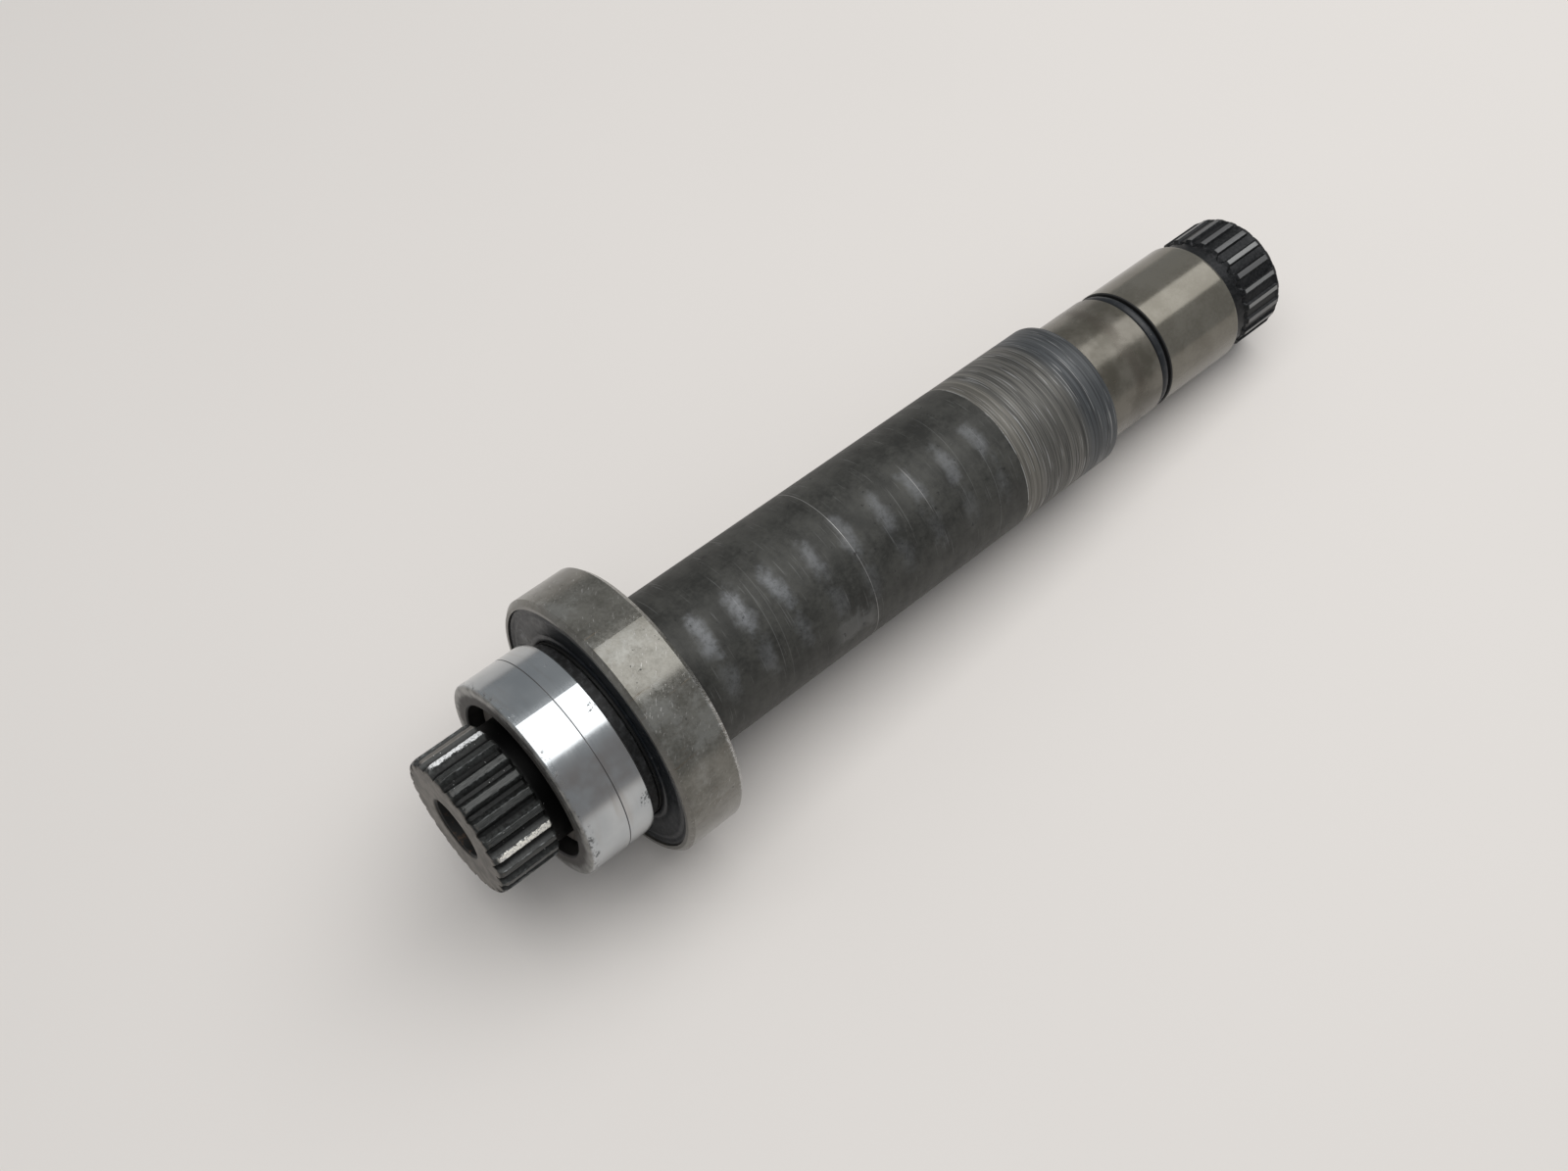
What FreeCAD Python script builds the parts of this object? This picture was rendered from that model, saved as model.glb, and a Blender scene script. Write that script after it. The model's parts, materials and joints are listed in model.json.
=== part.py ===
import FreeCAD, Part
import Sketcher
import math
import os

# Power-output shaft with an involute spline at each end, a sealed deep-groove ball bearing and a
# seal collar. Millimetres. The shaft lies along X with its front end towards -X; the origin is the
# centre of the bearing, and +Z is up.

doc = FreeCAD.newDocument("OutputShaft")

# ---------------------------------------------------------------- driving dimensions

SIZES = [
    # bearing
    ("seat_dia", 35.0, "shaft seat, collar bore and bearing bore"),
    ("bearing_outer_dia", 62.0, "outer ring, outside"),
    ("bearing_width", 14.0, "both rings"),
    ("bearing_chamfer", 1.0, "ring corners at the housing and at the shaft"),
    ("ball_dia", 7.938, "5/16 inch ball"),
    ("ball_count", 11, "balls and cage pockets"),
    ("groove_conformity", 0.52, "race radius as a share of the ball's diameter"),
    ("race_gap", 0.03, "radial gap between ball and each race"),
    ("inner_shoulder_drop", 2.45, "pitch circle in to the inner ring's shoulder"),
    ("outer_shoulder_rise", 2.55, "pitch circle out to the outer ring's shoulder"),
    ("seal_land_drop", 0.8, "inner shoulder in to the land under the seal lip"),
    ("outer_rim_wall", 1.8, "outer ring's wall round the seal recess"),
    # cage
    ("cage_sheet", 0.6, "thickness of the pressed cage"),
    ("cage_half_band", 1.8, "half the cage's radial width"),
    ("pocket_gap", 0.15, "gap between ball and cage pocket"),
    ("rivet_dia", 1.1, "rivet shank"),
    ("rivet_head_dia", 1.9, "rivet head"),
    ("rivet_head_height", 0.4, "rivet head"),
    # seals
    ("seal_to_cage_gap", 0.38, "axial gap between cage and seal"),
    ("seal_recess", 0.4, "ring face in to the seal's face"),
    ("seal_lip_gap", 0.05, "gap between the seal lip and its land"),
    ("seal_insert_share", 0.4, "steel insert's share of the seal's thickness"),
    ("seal_insert_margin", 1.2, "rubber inside the insert's inner edge"),
    ("seal_side_gap", 0.3, "axial gap between the inner ring's shoulder and the seal"),
    # seal collar
    ("collar_wall", 5.5, "seat out to the polished seal land"),
    ("collar_length", 18.5, "whole collar"),
    ("spigot_wall", 3.5, "seat out to the reduced end against the inner ring"),
    ("spigot_length", 2.8, "reduced end against the inner ring"),
    ("collar_front_round", 0.9, "rounded front edge"),
    ("collar_rear_chamfer", 0.4, "rear edge of the seal land"),
    ("counterbore_gap", 0.1, "snap ring out to the wall of its recess"),
    ("counterbore_depth", 6.0, "recess for the snap ring"),
    ("counterbore_chamfer", 0.3, "mouth of the recess"),
    ("collar_ring_section", 1.8, "collar O-ring"),
    ("collar_ring_groove_width", 2.4, "groove for the collar O-ring"),
    ("collar_ring_setback", 6.0, "collar's rear face to the O-ring's centre"),
    # snap ring
    ("snap_wire_dia", 1.5, "round wire"),
    ("snap_groove_width", 1.6, "groove in the seat"),
    ("snap_groove_depth", 0.8, "groove in the seat"),
    ("snap_land", 1.0, "seat left in front of the groove"),
    ("snap_gap_angle", 16.0, "opening of the ring, degrees"),
    # splines
    ("spline_module", 1.27, "20/40 diametral pitch"),
    ("spline_flank_angle", 30.0, "pressure angle, degrees"),
    ("front_teeth", 24, "front spline"),
    ("front_root_factor", 1.8, "teeth less this, times the module, is the root diameter"),
    ("front_spline_turn", -6.0, "first space from the top, towards -Y, degrees"),
    ("front_spline_length", 13.8, "front spline"),
    ("front_edge_length", 1.7, "rounded front edge, along the axis"),
    ("front_edge_drop", 1.08, "rounded front edge, radially"),
    ("rear_teeth", 23, "rear spline"),
    ("rear_root_factor", 1.35, "teeth less this, times the module, is the root diameter"),
    ("rear_spline_turn", 7.2, "first space from the top, towards -Y, degrees"),
    ("rear_spline_length", 13.2, "rear spline"),
    ("rear_edge_length", 1.8, "rounded rear edge, along the axis"),
    ("rear_edge_drop", 1.2, "rounded rear edge, radially"),
    ("spline_tail_chamfer", 0.6, "inner end of each spline"),
    ("spline_run_out", 1.0, "cutter's travel past the rear spline"),
    # shaft
    ("front_neck_dia", 28.0, "neck behind the front spline"),
    ("front_neck_length", 5.7, "neck behind the front spline"),
    ("barrel_shoulder", 1.0, "height of the shoulder behind the bearing"),
    ("barrel_length", 126.0, "barrel and ground band"),
    ("ground_band_drop", 0.02, "barrel in to the ground seat, radially"),
    ("ground_band_length", 30.6, "ground seat at the barrel's rear end"),
    ("barrel_edge", 0.6, "chamfer at the barrel's rear end"),
    ("journal_front_dia", 31.75, "front journal"),
    ("journal_front_length", 18.8, "front journal"),
    ("journal_fillet", 0.5, "corner between barrel and front journal"),
    ("journal_groove_width", 3.3, "O-ring groove between the journals"),
    ("journal_ring_section", 2.7, "journal O-ring"),
    ("journal_ring_depth", 0.15, "O-ring's crown below the rear journal"),
    ("journal_groove_edge", 0.25, "chamfers at the O-ring groove"),
    ("journal_rear_dia", 31.4, "rear journal"),
    ("journal_rear_length", 25.2, "rear journal"),
    ("journal_rear_chamfer", 0.7, "rear end of the rear journal"),
    ("rear_neck_dia", 29.0, "neck in front of the rear spline"),
    ("rear_neck_length", 3.7, "neck in front of the rear spline"),
    # holes in the shaft's ends
    ("front_bore_dia", 13.5, "blind bore"),
    ("front_bore_depth", 38.0, "blind bore, to the end of its wall"),
    ("front_bore_chamfer", 0.6, "mouth of the bore"),
    ("drill_point_angle", 118.0, "bottom of the bore, degrees"),
    ("centre_hole_dia", 4.0, "lathe centre in the rear end"),
    ("centre_mouth_dia", 8.0, "lathe centre in the rear end"),
    ("centre_hole_depth", 5.0, "pilot beyond the lathe centre's cone"),
    ("centre_cone_angle", 60.0, "lathe centre, degrees"),
]

# Worked out from the sizes above, in this order.
DERIVED = [
    ("bearing_front", "-Sizes.bearing_width / 2"),
    ("shoulder", "Sizes.bearing_width / 2"),
    ("collar_front", "bearing_front - Sizes.collar_length"),
    ("collar_step", "collar_front + Sizes.counterbore_depth"),
    ("spigot_front", "bearing_front - Sizes.spigot_length"),
    ("collar_ring_x", "bearing_front - Sizes.collar_ring_setback"),
    ("snap_groove_front", "collar_step - Sizes.snap_groove_width"),
    ("snap_ring_x", "collar_step - Sizes.snap_wire_dia / 2"),
    ("seat_front", "snap_groove_front - Sizes.snap_land"),
    ("front_spline_tail", "seat_front - Sizes.front_neck_length"),
    ("front_face", "front_spline_tail - Sizes.front_spline_length"),
    ("barrel_end", "shoulder + Sizes.barrel_length"),
    ("band_front", "barrel_end - Sizes.ground_band_length"),
    ("groove_front", "barrel_end + Sizes.journal_front_length"),
    ("groove_rear", "groove_front + Sizes.journal_groove_width"),
    ("journal_end", "groove_rear + Sizes.journal_rear_length"),
    ("rear_spline_front", "journal_end + Sizes.rear_neck_length"),
    ("rear_face", "rear_spline_front + Sizes.rear_spline_length"),
    ("seat_radius", "Sizes.seat_dia / 2"),
    ("snap_floor_radius", "seat_radius - Sizes.snap_groove_depth"),
    ("collar_radius", "seat_radius + Sizes.collar_wall"),
    ("spigot_radius", "seat_radius + Sizes.spigot_wall"),
    ("counterbore_radius", "snap_floor_radius + Sizes.snap_wire_dia + Sizes.counterbore_gap"),
    ("collar_ring_floor_radius", "seat_radius + Sizes.collar_ring_section"),
    ("barrel_radius", "seat_radius + Sizes.barrel_shoulder"),
    ("band_radius", "barrel_radius - Sizes.ground_band_drop"),
    ("journal_front_radius", "Sizes.journal_front_dia / 2"),
    ("journal_rear_radius", "Sizes.journal_rear_dia / 2"),
    ("journal_floor_radius",
     "journal_rear_radius - Sizes.journal_ring_depth - Sizes.journal_ring_section"),
    ("front_major_radius", "Sizes.spline_module * (Sizes.front_teeth + 1) / 2"),
    ("rear_major_radius", "Sizes.spline_module * (Sizes.rear_teeth + 1) / 2"),
    ("bore_radius", "Sizes.front_bore_dia / 2"),
    ("bore_end", "front_face + Sizes.front_bore_depth"),
    ("bore_tip", "bore_end + bore_radius / tan(Sizes.drill_point_angle / 2 * 1 deg)"),
    ("centre_cone_end",
     "rear_face - (Sizes.centre_mouth_dia - Sizes.centre_hole_dia) / 2"
     " / tan(Sizes.centre_cone_angle / 2 * 1 deg)"),
    ("centre_end", "centre_cone_end - Sizes.centre_hole_depth"),
    ("pitch_radius", "(Sizes.seat_dia + Sizes.bearing_outer_dia) / 4"),
    ("ball_radius", "Sizes.ball_dia / 2"),
    ("race_radius", "Sizes.groove_conformity * Sizes.ball_dia"),
    ("inner_race_centre", "pitch_radius - ball_radius - Sizes.race_gap + race_radius"),
    ("outer_race_centre", "pitch_radius + ball_radius + Sizes.race_gap - race_radius"),
    ("inner_shoulder_radius", "pitch_radius - Sizes.inner_shoulder_drop"),
    ("outer_shoulder_radius", "pitch_radius + Sizes.outer_shoulder_rise"),
    ("seal_land_radius", "inner_shoulder_radius - Sizes.seal_land_drop"),
    ("outer_radius", "Sizes.bearing_outer_dia / 2"),
    ("recess_radius", "outer_radius - Sizes.outer_rim_wall"),
    ("pocket_radius", "ball_radius + Sizes.pocket_gap"),
    ("pocket_outer_radius", "pocket_radius + Sizes.cage_sheet"),
    ("seal_inner_x", "pocket_outer_radius + Sizes.seal_to_cage_gap"),
    ("seal_outer_x", "shoulder - Sizes.seal_recess"),
    ("inner_shoulder_end", "seal_inner_x - Sizes.seal_side_gap"),
    ("seal_lip_radius", "seal_land_radius + Sizes.seal_lip_gap"),
    ("insert_outer_x", "seal_inner_x + Sizes.seal_insert_share * (seal_outer_x - seal_inner_x)"),
    ("insert_inner_radius", "seal_lip_radius + Sizes.seal_insert_margin"),
    ("insert_outer_radius", "(outer_shoulder_radius + recess_radius) / 2"),
]


def fill_sheet(name, rows):
    """Spreadsheet with one alias to each row: name, content, note."""
    sheet = doc.addObject("Spreadsheet::Sheet", name)
    for index, (alias, content, note) in enumerate(rows, start=1):
        sheet.set(f"A{index}", alias)
        sheet.set(f"B{index}", content)
        sheet.set(f"C{index}", note)
        sheet.setAlias(f"B{index}", alias)
    doc.recompute()
    return sheet


sizes = fill_sheet("Sizes", [(alias, str(number), note) for alias, number, note in SIZES])
derived = fill_sheet("Derived", [(alias, "=" + formula, "worked out") for alias, formula in DERIVED])


def number(expression):
    """Plain number that an expression over the sheets gives now."""
    return float(sizes.evalExpression(expression))


def count(alias):
    return int(round(number("Sizes." + alias)))


# ---------------------------------------------------------------- ways of making a piece

def new_body(label):
    body = doc.addObject("PartDesign::Body", label)
    body.Label = label
    return body


def attach(body, sketch, role):
    plane = next(item for item in body.Origin.OriginFeatures if item.Role == role)
    sketch.AttachmentSupport = [(plane, "")]
    sketch.MapMode = "FlatFace"


def bind_point(sketch, edge, end, across, up):
    """Hold one end of an edge at two expressions, measured from the sketch's origin."""
    for kind, expression in (("DistanceX", across), ("DistanceY", up)):
        index = sketch.addConstraint(Sketcher.Constraint(kind, -1, 1, edge, end, number(expression)))
        sketch.setExpression(f"Constraints[{index}]", expression)


def outline(body, name, corners, role="XZ_Plane"):
    """Closed outline through corners given as pairs of expressions."""
    sketch = body.newObject("Sketcher::SketchObject", name)
    attach(body, sketch, role)
    points = [FreeCAD.Vector(number(across), number(up), 0) for across, up in corners]
    total = len(points)
    for index in range(total):
        sketch.addGeometry(Part.LineSegment(points[index], points[(index + 1) % total]), False)
    for index in range(total):
        sketch.addConstraint(Sketcher.Constraint("Coincident", index, 2, (index + 1) % total, 1))
    for index, (across, up) in enumerate(corners):
        bind_point(sketch, index, 1, across, up)
    doc.recompute()
    return sketch


def turn(body, name, corners):
    """Solid turned about X from an outline of (station, radius) corners."""
    sketch = outline(body, name + "_outline", corners)
    feature = body.newObject("PartDesign::Revolution", name)
    feature.Profile = sketch
    feature.ReferenceAxis = (sketch, ["H_Axis"])
    feature.Angle = 360.0
    body.Tip = feature
    doc.recompute()
    return feature


def turn_away(body, name, corners):
    """Cut a turned groove or hole about X."""
    before = body.Shape.Volume
    sketch = outline(body, name + "_outline", corners)
    feature = body.newObject("PartDesign::Groove", name)
    feature.Profile = sketch
    feature.ReferenceAxis = (sketch, ["H_Axis"])
    feature.Angle = 360.0
    body.Tip = feature
    doc.recompute()
    assert body.Shape.Volume < before, f"{name} cuts nothing"
    return feature


def race(body, name, centre_radius):
    """Round ball race cut about X, its centre at the given radius."""
    before = body.Shape.Volume
    sketch = body.newObject("Sketcher::SketchObject", name + "_outline")
    attach(body, sketch, "XZ_Plane")
    centre = FreeCAD.Vector(0, number(centre_radius), 0)
    radius = "Derived.race_radius"
    sketch.addGeometry(Part.Circle(centre, FreeCAD.Vector(0, 0, 1), number(radius)), False)
    bind_point(sketch, 0, 3, "0", centre_radius)
    index = sketch.addConstraint(Sketcher.Constraint("Radius", 0, number(radius)))
    sketch.setExpression(f"Constraints[{index}]", radius)
    doc.recompute()
    feature = body.newObject("PartDesign::Groove", name)
    feature.Profile = sketch
    feature.ReferenceAxis = (sketch, ["H_Axis"])
    feature.Angle = 360.0
    body.Tip = feature
    doc.recompute()
    assert body.Shape.Volume < before, f"{name} cuts nothing"
    return feature


def circles_at(shape, station, radius):
    """Names of the circular edges round X at a station and radius."""
    names = []
    for index, edge in enumerate(shape.Edges, start=1):
        curve = edge.Curve
        if not isinstance(curve, Part.Circle):
            continue
        on_axis = math.hypot(curve.Center.y, curve.Center.z) < 1e-4
        if on_axis and abs(curve.Center.x - station) < 1e-4 and abs(curve.Radius - radius) < 1e-4:
            names.append(f"Edge{index}")
    return names


def round_edge(body, name, station, radius, size):
    """Fillet on the circular edge at a station and radius, both expressions."""
    base = body.Tip
    edges = circles_at(base.Shape, number(station), number(radius))
    assert edges, f"{name} has no edge"
    feature = body.newObject("PartDesign::Fillet", name)
    feature.Base = (base, edges)
    feature.Radius = number(size)
    feature.setExpression("Radius", size)
    body.Tip = feature
    doc.recompute()
    return feature


# ---------------------------------------------------------------- shaft

def cut_spline(body, end, start, length):
    """Spaces of one end's spline: one space with a full-radius root, repeated round the shaft."""
    name = end + "_spline"
    teeth = f"Sizes.{end}_teeth"
    turned = f"Sizes.{end}_spline_turn"
    before = body.Shape.Volume
    half_pitch_angle = f"90 deg / {teeth}"
    flank = f"(Sizes.spline_flank_angle * 1 deg + {half_pitch_angle})"
    pitch_radius = f"Sizes.spline_module * {teeth} / 2"
    half_space = f"({pitch_radius} * sin({half_pitch_angle}))"
    apex = f"({pitch_radius} * cos({half_pitch_angle}) - {half_space} / tan({flank}))"
    root_radius = f"Sizes.spline_module * ({teeth} - Sizes.{end}_root_factor) / 2"
    fillet = f"(({root_radius} - {apex}) * sin({flank}) / (1 - sin({flank})))"
    centre = f"({root_radius} + {fillet})"
    top = f"(Sizes.spline_module * ({teeth} + 2) / 2)"

    touch_across = f"{fillet} * cos({flank})"
    touch_up = f"{centre} - {fillet} * sin({flank})"
    top_across = f"({top} - {apex}) * tan({flank})"

    sketch = body.newObject("Sketcher::SketchObject", name + "_outline")
    attach(body, sketch, "YZ_Plane")
    left = FreeCAD.Vector(-number(touch_across), number(touch_up), 0)
    right = FreeCAD.Vector(number(touch_across), number(touch_up), 0)
    bottom = FreeCAD.Vector(0, number(root_radius), 0)
    top_left = FreeCAD.Vector(-number(top_across), number(top), 0)
    top_right = FreeCAD.Vector(number(top_across), number(top), 0)
    sketch.addGeometry(Part.Arc(left, bottom, right), False)
    sketch.addGeometry(Part.LineSegment(right, top_right), False)
    sketch.addGeometry(Part.LineSegment(top_right, top_left), False)
    sketch.addGeometry(Part.LineSegment(top_left, left), False)
    sketch.addConstraint(Sketcher.Constraint("Coincident", 1, 2, 2, 1))
    sketch.addConstraint(Sketcher.Constraint("Coincident", 2, 2, 3, 1))
    sketch.addConstraint(Sketcher.Constraint("Tangent", 0, 2, 1, 1))
    sketch.addConstraint(Sketcher.Constraint("Tangent", 3, 2, 0, 1))
    bind_point(sketch, 0, 3, "0", centre)
    bind_point(sketch, 2, 1, top_across, top)
    bind_point(sketch, 2, 2, "-" + top_across, top)
    sketch.AttachmentOffset = FreeCAD.Placement(
        FreeCAD.Vector(0, 0, number(start)), FreeCAD.Rotation(FreeCAD.Vector(0, 0, 1), number(turned)))
    sketch.setExpression("AttachmentOffset.Base.z", start)
    sketch.setExpression("AttachmentOffset.Rotation.Angle", f"{turned} * 1 deg")
    doc.recompute()

    space = body.newObject("PartDesign::Pocket", name + "_space")
    space.Profile = sketch
    space.Length = number(length)
    space.setExpression("Length", length)
    space.Reversed = True
    body.Tip = space
    doc.recompute()
    assert body.Shape.Volume < before, f"{name} cuts nothing"

    one_space = before - body.Shape.Volume
    pattern = body.newObject("PartDesign::PolarPattern", name)
    pattern.Originals = [space]
    pattern.Axis = (sketch, ["N_Axis"])
    pattern.Angle = 360.0
    pattern.Occurrences = count(end + "_teeth")
    pattern.setExpression("Occurrences", teeth)
    body.Tip = pattern
    doc.recompute()
    removed = before - body.Shape.Volume
    assert abs(removed - one_space * pattern.Occurrences) < 0.01 * removed, f"{name} lost a space"


def make_shaft():
    body = new_body("shaft")
    front_tip = "(Derived.front_major_radius - Sizes.front_edge_drop)"
    rear_tip = "(Derived.rear_major_radius - Sizes.rear_edge_drop)"
    tail = "Sizes.spline_tail_chamfer"
    groove_edge = "Sizes.journal_groove_edge"
    # Each rounded end edge is a quarter ellipse, its middle point at 45 degrees.
    bulge = "0.7071"
    turn(body, "shaft_stock", [
        ("Derived.front_face", "0"),
        ("Derived.front_face", front_tip),
        (f"Derived.front_face + Sizes.front_edge_length * (1 - {bulge})",
         f"{front_tip} + Sizes.front_edge_drop * {bulge}"),
        ("Derived.front_face + Sizes.front_edge_length", "Derived.front_major_radius"),
        (f"Derived.front_spline_tail - {tail}", "Derived.front_major_radius"),
        ("Derived.front_spline_tail", f"Derived.front_major_radius - {tail}"),
        ("Derived.front_spline_tail", "Sizes.front_neck_dia / 2"),
        ("Derived.seat_front", "Sizes.front_neck_dia / 2"),
        ("Derived.seat_front", "Derived.seat_radius"),
        ("Derived.snap_groove_front", "Derived.seat_radius"),
        ("Derived.snap_groove_front", "Derived.snap_floor_radius"),
        ("Derived.collar_step", "Derived.snap_floor_radius"),
        ("Derived.collar_step", "Derived.seat_radius"),
        ("Derived.shoulder", "Derived.seat_radius"),
        ("Derived.shoulder", "Derived.barrel_radius"),
        ("Derived.band_front", "Derived.barrel_radius"),
        ("Derived.band_front", "Derived.band_radius"),
        ("Derived.barrel_end - Sizes.barrel_edge", "Derived.band_radius"),
        ("Derived.barrel_end", "Derived.band_radius - Sizes.barrel_edge"),
        ("Derived.barrel_end", "Derived.journal_front_radius"),
        (f"Derived.groove_front - {groove_edge}", "Derived.journal_front_radius"),
        ("Derived.groove_front", f"Derived.journal_front_radius - {groove_edge}"),
        ("Derived.groove_front", "Derived.journal_floor_radius"),
        ("Derived.groove_rear", "Derived.journal_floor_radius"),
        ("Derived.groove_rear", f"Derived.journal_rear_radius - {groove_edge}"),
        (f"Derived.groove_rear + {groove_edge}", "Derived.journal_rear_radius"),
        ("Derived.journal_end - Sizes.journal_rear_chamfer", "Derived.journal_rear_radius"),
        ("Derived.journal_end", "Derived.journal_rear_radius - Sizes.journal_rear_chamfer"),
        ("Derived.journal_end", "Sizes.rear_neck_dia / 2"),
        ("Derived.rear_spline_front", "Sizes.rear_neck_dia / 2"),
        ("Derived.rear_spline_front", f"Derived.rear_major_radius - {tail}"),
        (f"Derived.rear_spline_front + {tail}", "Derived.rear_major_radius"),
        ("Derived.rear_face - Sizes.rear_edge_length", "Derived.rear_major_radius"),
        (f"Derived.rear_face - Sizes.rear_edge_length * (1 - {bulge})",
         f"{rear_tip} + Sizes.rear_edge_drop * {bulge}"),
        ("Derived.rear_face", rear_tip),
        ("Derived.rear_face", "0"),
    ])
    round_edge(body, "journal_corner", "Derived.barrel_end", "Derived.journal_front_radius",
               "Sizes.journal_fillet")
    turn_away(body, "front_bore", [
        ("Derived.front_face", "0"),
        ("Derived.front_face", "Derived.bore_radius + Sizes.front_bore_chamfer"),
        ("Derived.front_face + Sizes.front_bore_chamfer", "Derived.bore_radius"),
        ("Derived.bore_end", "Derived.bore_radius"),
        ("Derived.bore_tip", "0"),
    ])
    turn_away(body, "rear_centre", [
        ("Derived.rear_face", "0"),
        ("Derived.rear_face", "Sizes.centre_mouth_dia / 2"),
        ("Derived.centre_cone_end", "Sizes.centre_hole_dia / 2"),
        ("Derived.centre_end", "Sizes.centre_hole_dia / 2"),
        ("Derived.centre_end", "0"),
    ])
    cut_spline(body, "front", "Derived.front_face", "Sizes.front_spline_length")
    cut_spline(body, "rear", "Derived.rear_spline_front - Sizes.spline_run_out",
               "Sizes.rear_spline_length + Sizes.spline_run_out")
    return body


# ---------------------------------------------------------------- collar and its rings

def make_collar():
    body = new_body("seal_collar")
    edge = "Sizes.collar_rear_chamfer"
    mouth = "Sizes.counterbore_chamfer"
    groove_front = "Derived.collar_ring_x - Sizes.collar_ring_groove_width / 2"
    groove_rear = "Derived.collar_ring_x + Sizes.collar_ring_groove_width / 2"
    groove_radius = "Derived.collar_ring_floor_radius"
    turn(body, "collar_stock", [
        ("Derived.collar_front", f"Derived.counterbore_radius + {mouth}"),
        ("Derived.collar_front", "Derived.collar_radius"),
        (f"Derived.spigot_front - {edge}", "Derived.collar_radius"),
        ("Derived.spigot_front", f"Derived.collar_radius - {edge}"),
        ("Derived.spigot_front", "Derived.spigot_radius"),
        (f"Derived.bearing_front - {edge}", "Derived.spigot_radius"),
        ("Derived.bearing_front", f"Derived.spigot_radius - {edge}"),
        ("Derived.bearing_front", "Derived.seat_radius"),
        (groove_rear, "Derived.seat_radius"),
        (groove_rear, groove_radius),
        (groove_front, groove_radius),
        (groove_front, "Derived.seat_radius"),
        ("Derived.collar_step", "Derived.seat_radius"),
        ("Derived.collar_step", "Derived.counterbore_radius"),
        (f"Derived.collar_front + {mouth}", "Derived.counterbore_radius"),
    ])
    round_edge(body, "collar_front_edge", "Derived.collar_front", "Derived.collar_radius",
               "Sizes.collar_front_round")
    return body


def make_torus(label, station, radius, section):
    """Round-section ring about X."""
    ring = doc.addObject("Part::Torus", label)
    ring.Label = label
    ring.setExpression("Radius1", radius)
    ring.setExpression("Radius2", f"{section} / 2")
    ring.Placement = FreeCAD.Placement(
        FreeCAD.Vector(0, 0, 0), FreeCAD.Rotation(FreeCAD.Vector(0, 1, 0), 90))
    ring.setExpression("Placement.Base.x", station)
    return ring


def make_snap_ring():
    ring = make_torus("collar_retaining_ring", "Derived.snap_ring_x",
                      "Derived.snap_floor_radius + Sizes.snap_wire_dia / 2", "Sizes.snap_wire_dia")
    ring.setExpression("Angle3", "360 - Sizes.snap_gap_angle")
    return ring


def make_collar_o_ring():
    return make_torus("collar_o_ring", "Derived.collar_ring_x",
                      "Derived.seat_radius + Sizes.collar_ring_section / 2",
                      "Sizes.collar_ring_section")


def make_journal_o_ring():
    return make_torus("journal_o_ring", "(Derived.groove_front + Derived.groove_rear) / 2",
                      "Derived.journal_floor_radius + Sizes.journal_ring_section / 2",
                      "Sizes.journal_ring_section")


# ---------------------------------------------------------------- bearing

def make_inner_ring():
    body = new_body("bearing_inner_ring")
    edge = "Sizes.bearing_chamfer / 2"
    turn(body, "inner_ring_stock", [
        ("Derived.bearing_front", f"Derived.seat_radius + {edge}"),
        ("Derived.bearing_front", "Derived.seal_land_radius"),
        ("-Derived.inner_shoulder_end", "Derived.seal_land_radius"),
        ("-Derived.inner_shoulder_end", "Derived.inner_shoulder_radius"),
        ("Derived.inner_shoulder_end", "Derived.inner_shoulder_radius"),
        ("Derived.inner_shoulder_end", "Derived.seal_land_radius"),
        ("Derived.shoulder", "Derived.seal_land_radius"),
        ("Derived.shoulder", f"Derived.seat_radius + {edge}"),
        (f"Derived.shoulder - {edge}", "Derived.seat_radius"),
        (f"Derived.bearing_front + {edge}", "Derived.seat_radius"),
    ])
    race(body, "inner_race", "Derived.inner_race_centre")
    return body


def make_outer_ring():
    body = new_body("bearing_outer_ring")
    edge = "Sizes.bearing_chamfer"
    turn(body, "outer_ring_stock", [
        ("Derived.bearing_front", "Derived.recess_radius"),
        ("Derived.bearing_front", f"Derived.outer_radius - {edge}"),
        (f"Derived.bearing_front + {edge}", "Derived.outer_radius"),
        (f"Derived.shoulder - {edge}", "Derived.outer_radius"),
        ("Derived.shoulder", f"Derived.outer_radius - {edge}"),
        ("Derived.shoulder", "Derived.recess_radius"),
        ("Derived.seal_inner_x", "Derived.recess_radius"),
        ("Derived.seal_inner_x", "Derived.outer_shoulder_radius"),
        ("-Derived.seal_inner_x", "Derived.outer_shoulder_radius"),
        ("-Derived.seal_inner_x", "Derived.recess_radius"),
    ])
    race(body, "outer_race", "Derived.outer_race_centre")
    return body


def make_seal(side, sign):
    """Rubber seal of one side with the steel insert moulded into its inner face."""
    rubber = new_body(f"{side}_seal_rubber")
    turn(rubber, f"{side}_rubber_stock", [
        (f"{sign}Derived.seal_inner_x", "Derived.seal_lip_radius"),
        (f"{sign}Derived.seal_outer_x", "Derived.seal_lip_radius"),
        (f"{sign}Derived.seal_outer_x", "Derived.recess_radius"),
        (f"{sign}Derived.seal_inner_x", "Derived.recess_radius"),
        (f"{sign}Derived.seal_inner_x", "Derived.insert_outer_radius"),
        (f"{sign}Derived.insert_outer_x", "Derived.insert_outer_radius"),
        (f"{sign}Derived.insert_outer_x", "Derived.insert_inner_radius"),
        (f"{sign}Derived.seal_inner_x", "Derived.insert_inner_radius"),
    ])
    insert = new_body(f"{side}_seal_insert")
    turn(insert, f"{side}_insert_stock", [
        (f"{sign}Derived.seal_inner_x", "Derived.insert_inner_radius"),
        (f"{sign}Derived.insert_outer_x", "Derived.insert_inner_radius"),
        (f"{sign}Derived.insert_outer_x", "Derived.insert_outer_radius"),
        (f"{sign}Derived.seal_inner_x", "Derived.insert_outer_radius"),
    ])
    return [rubber, insert]


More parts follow.
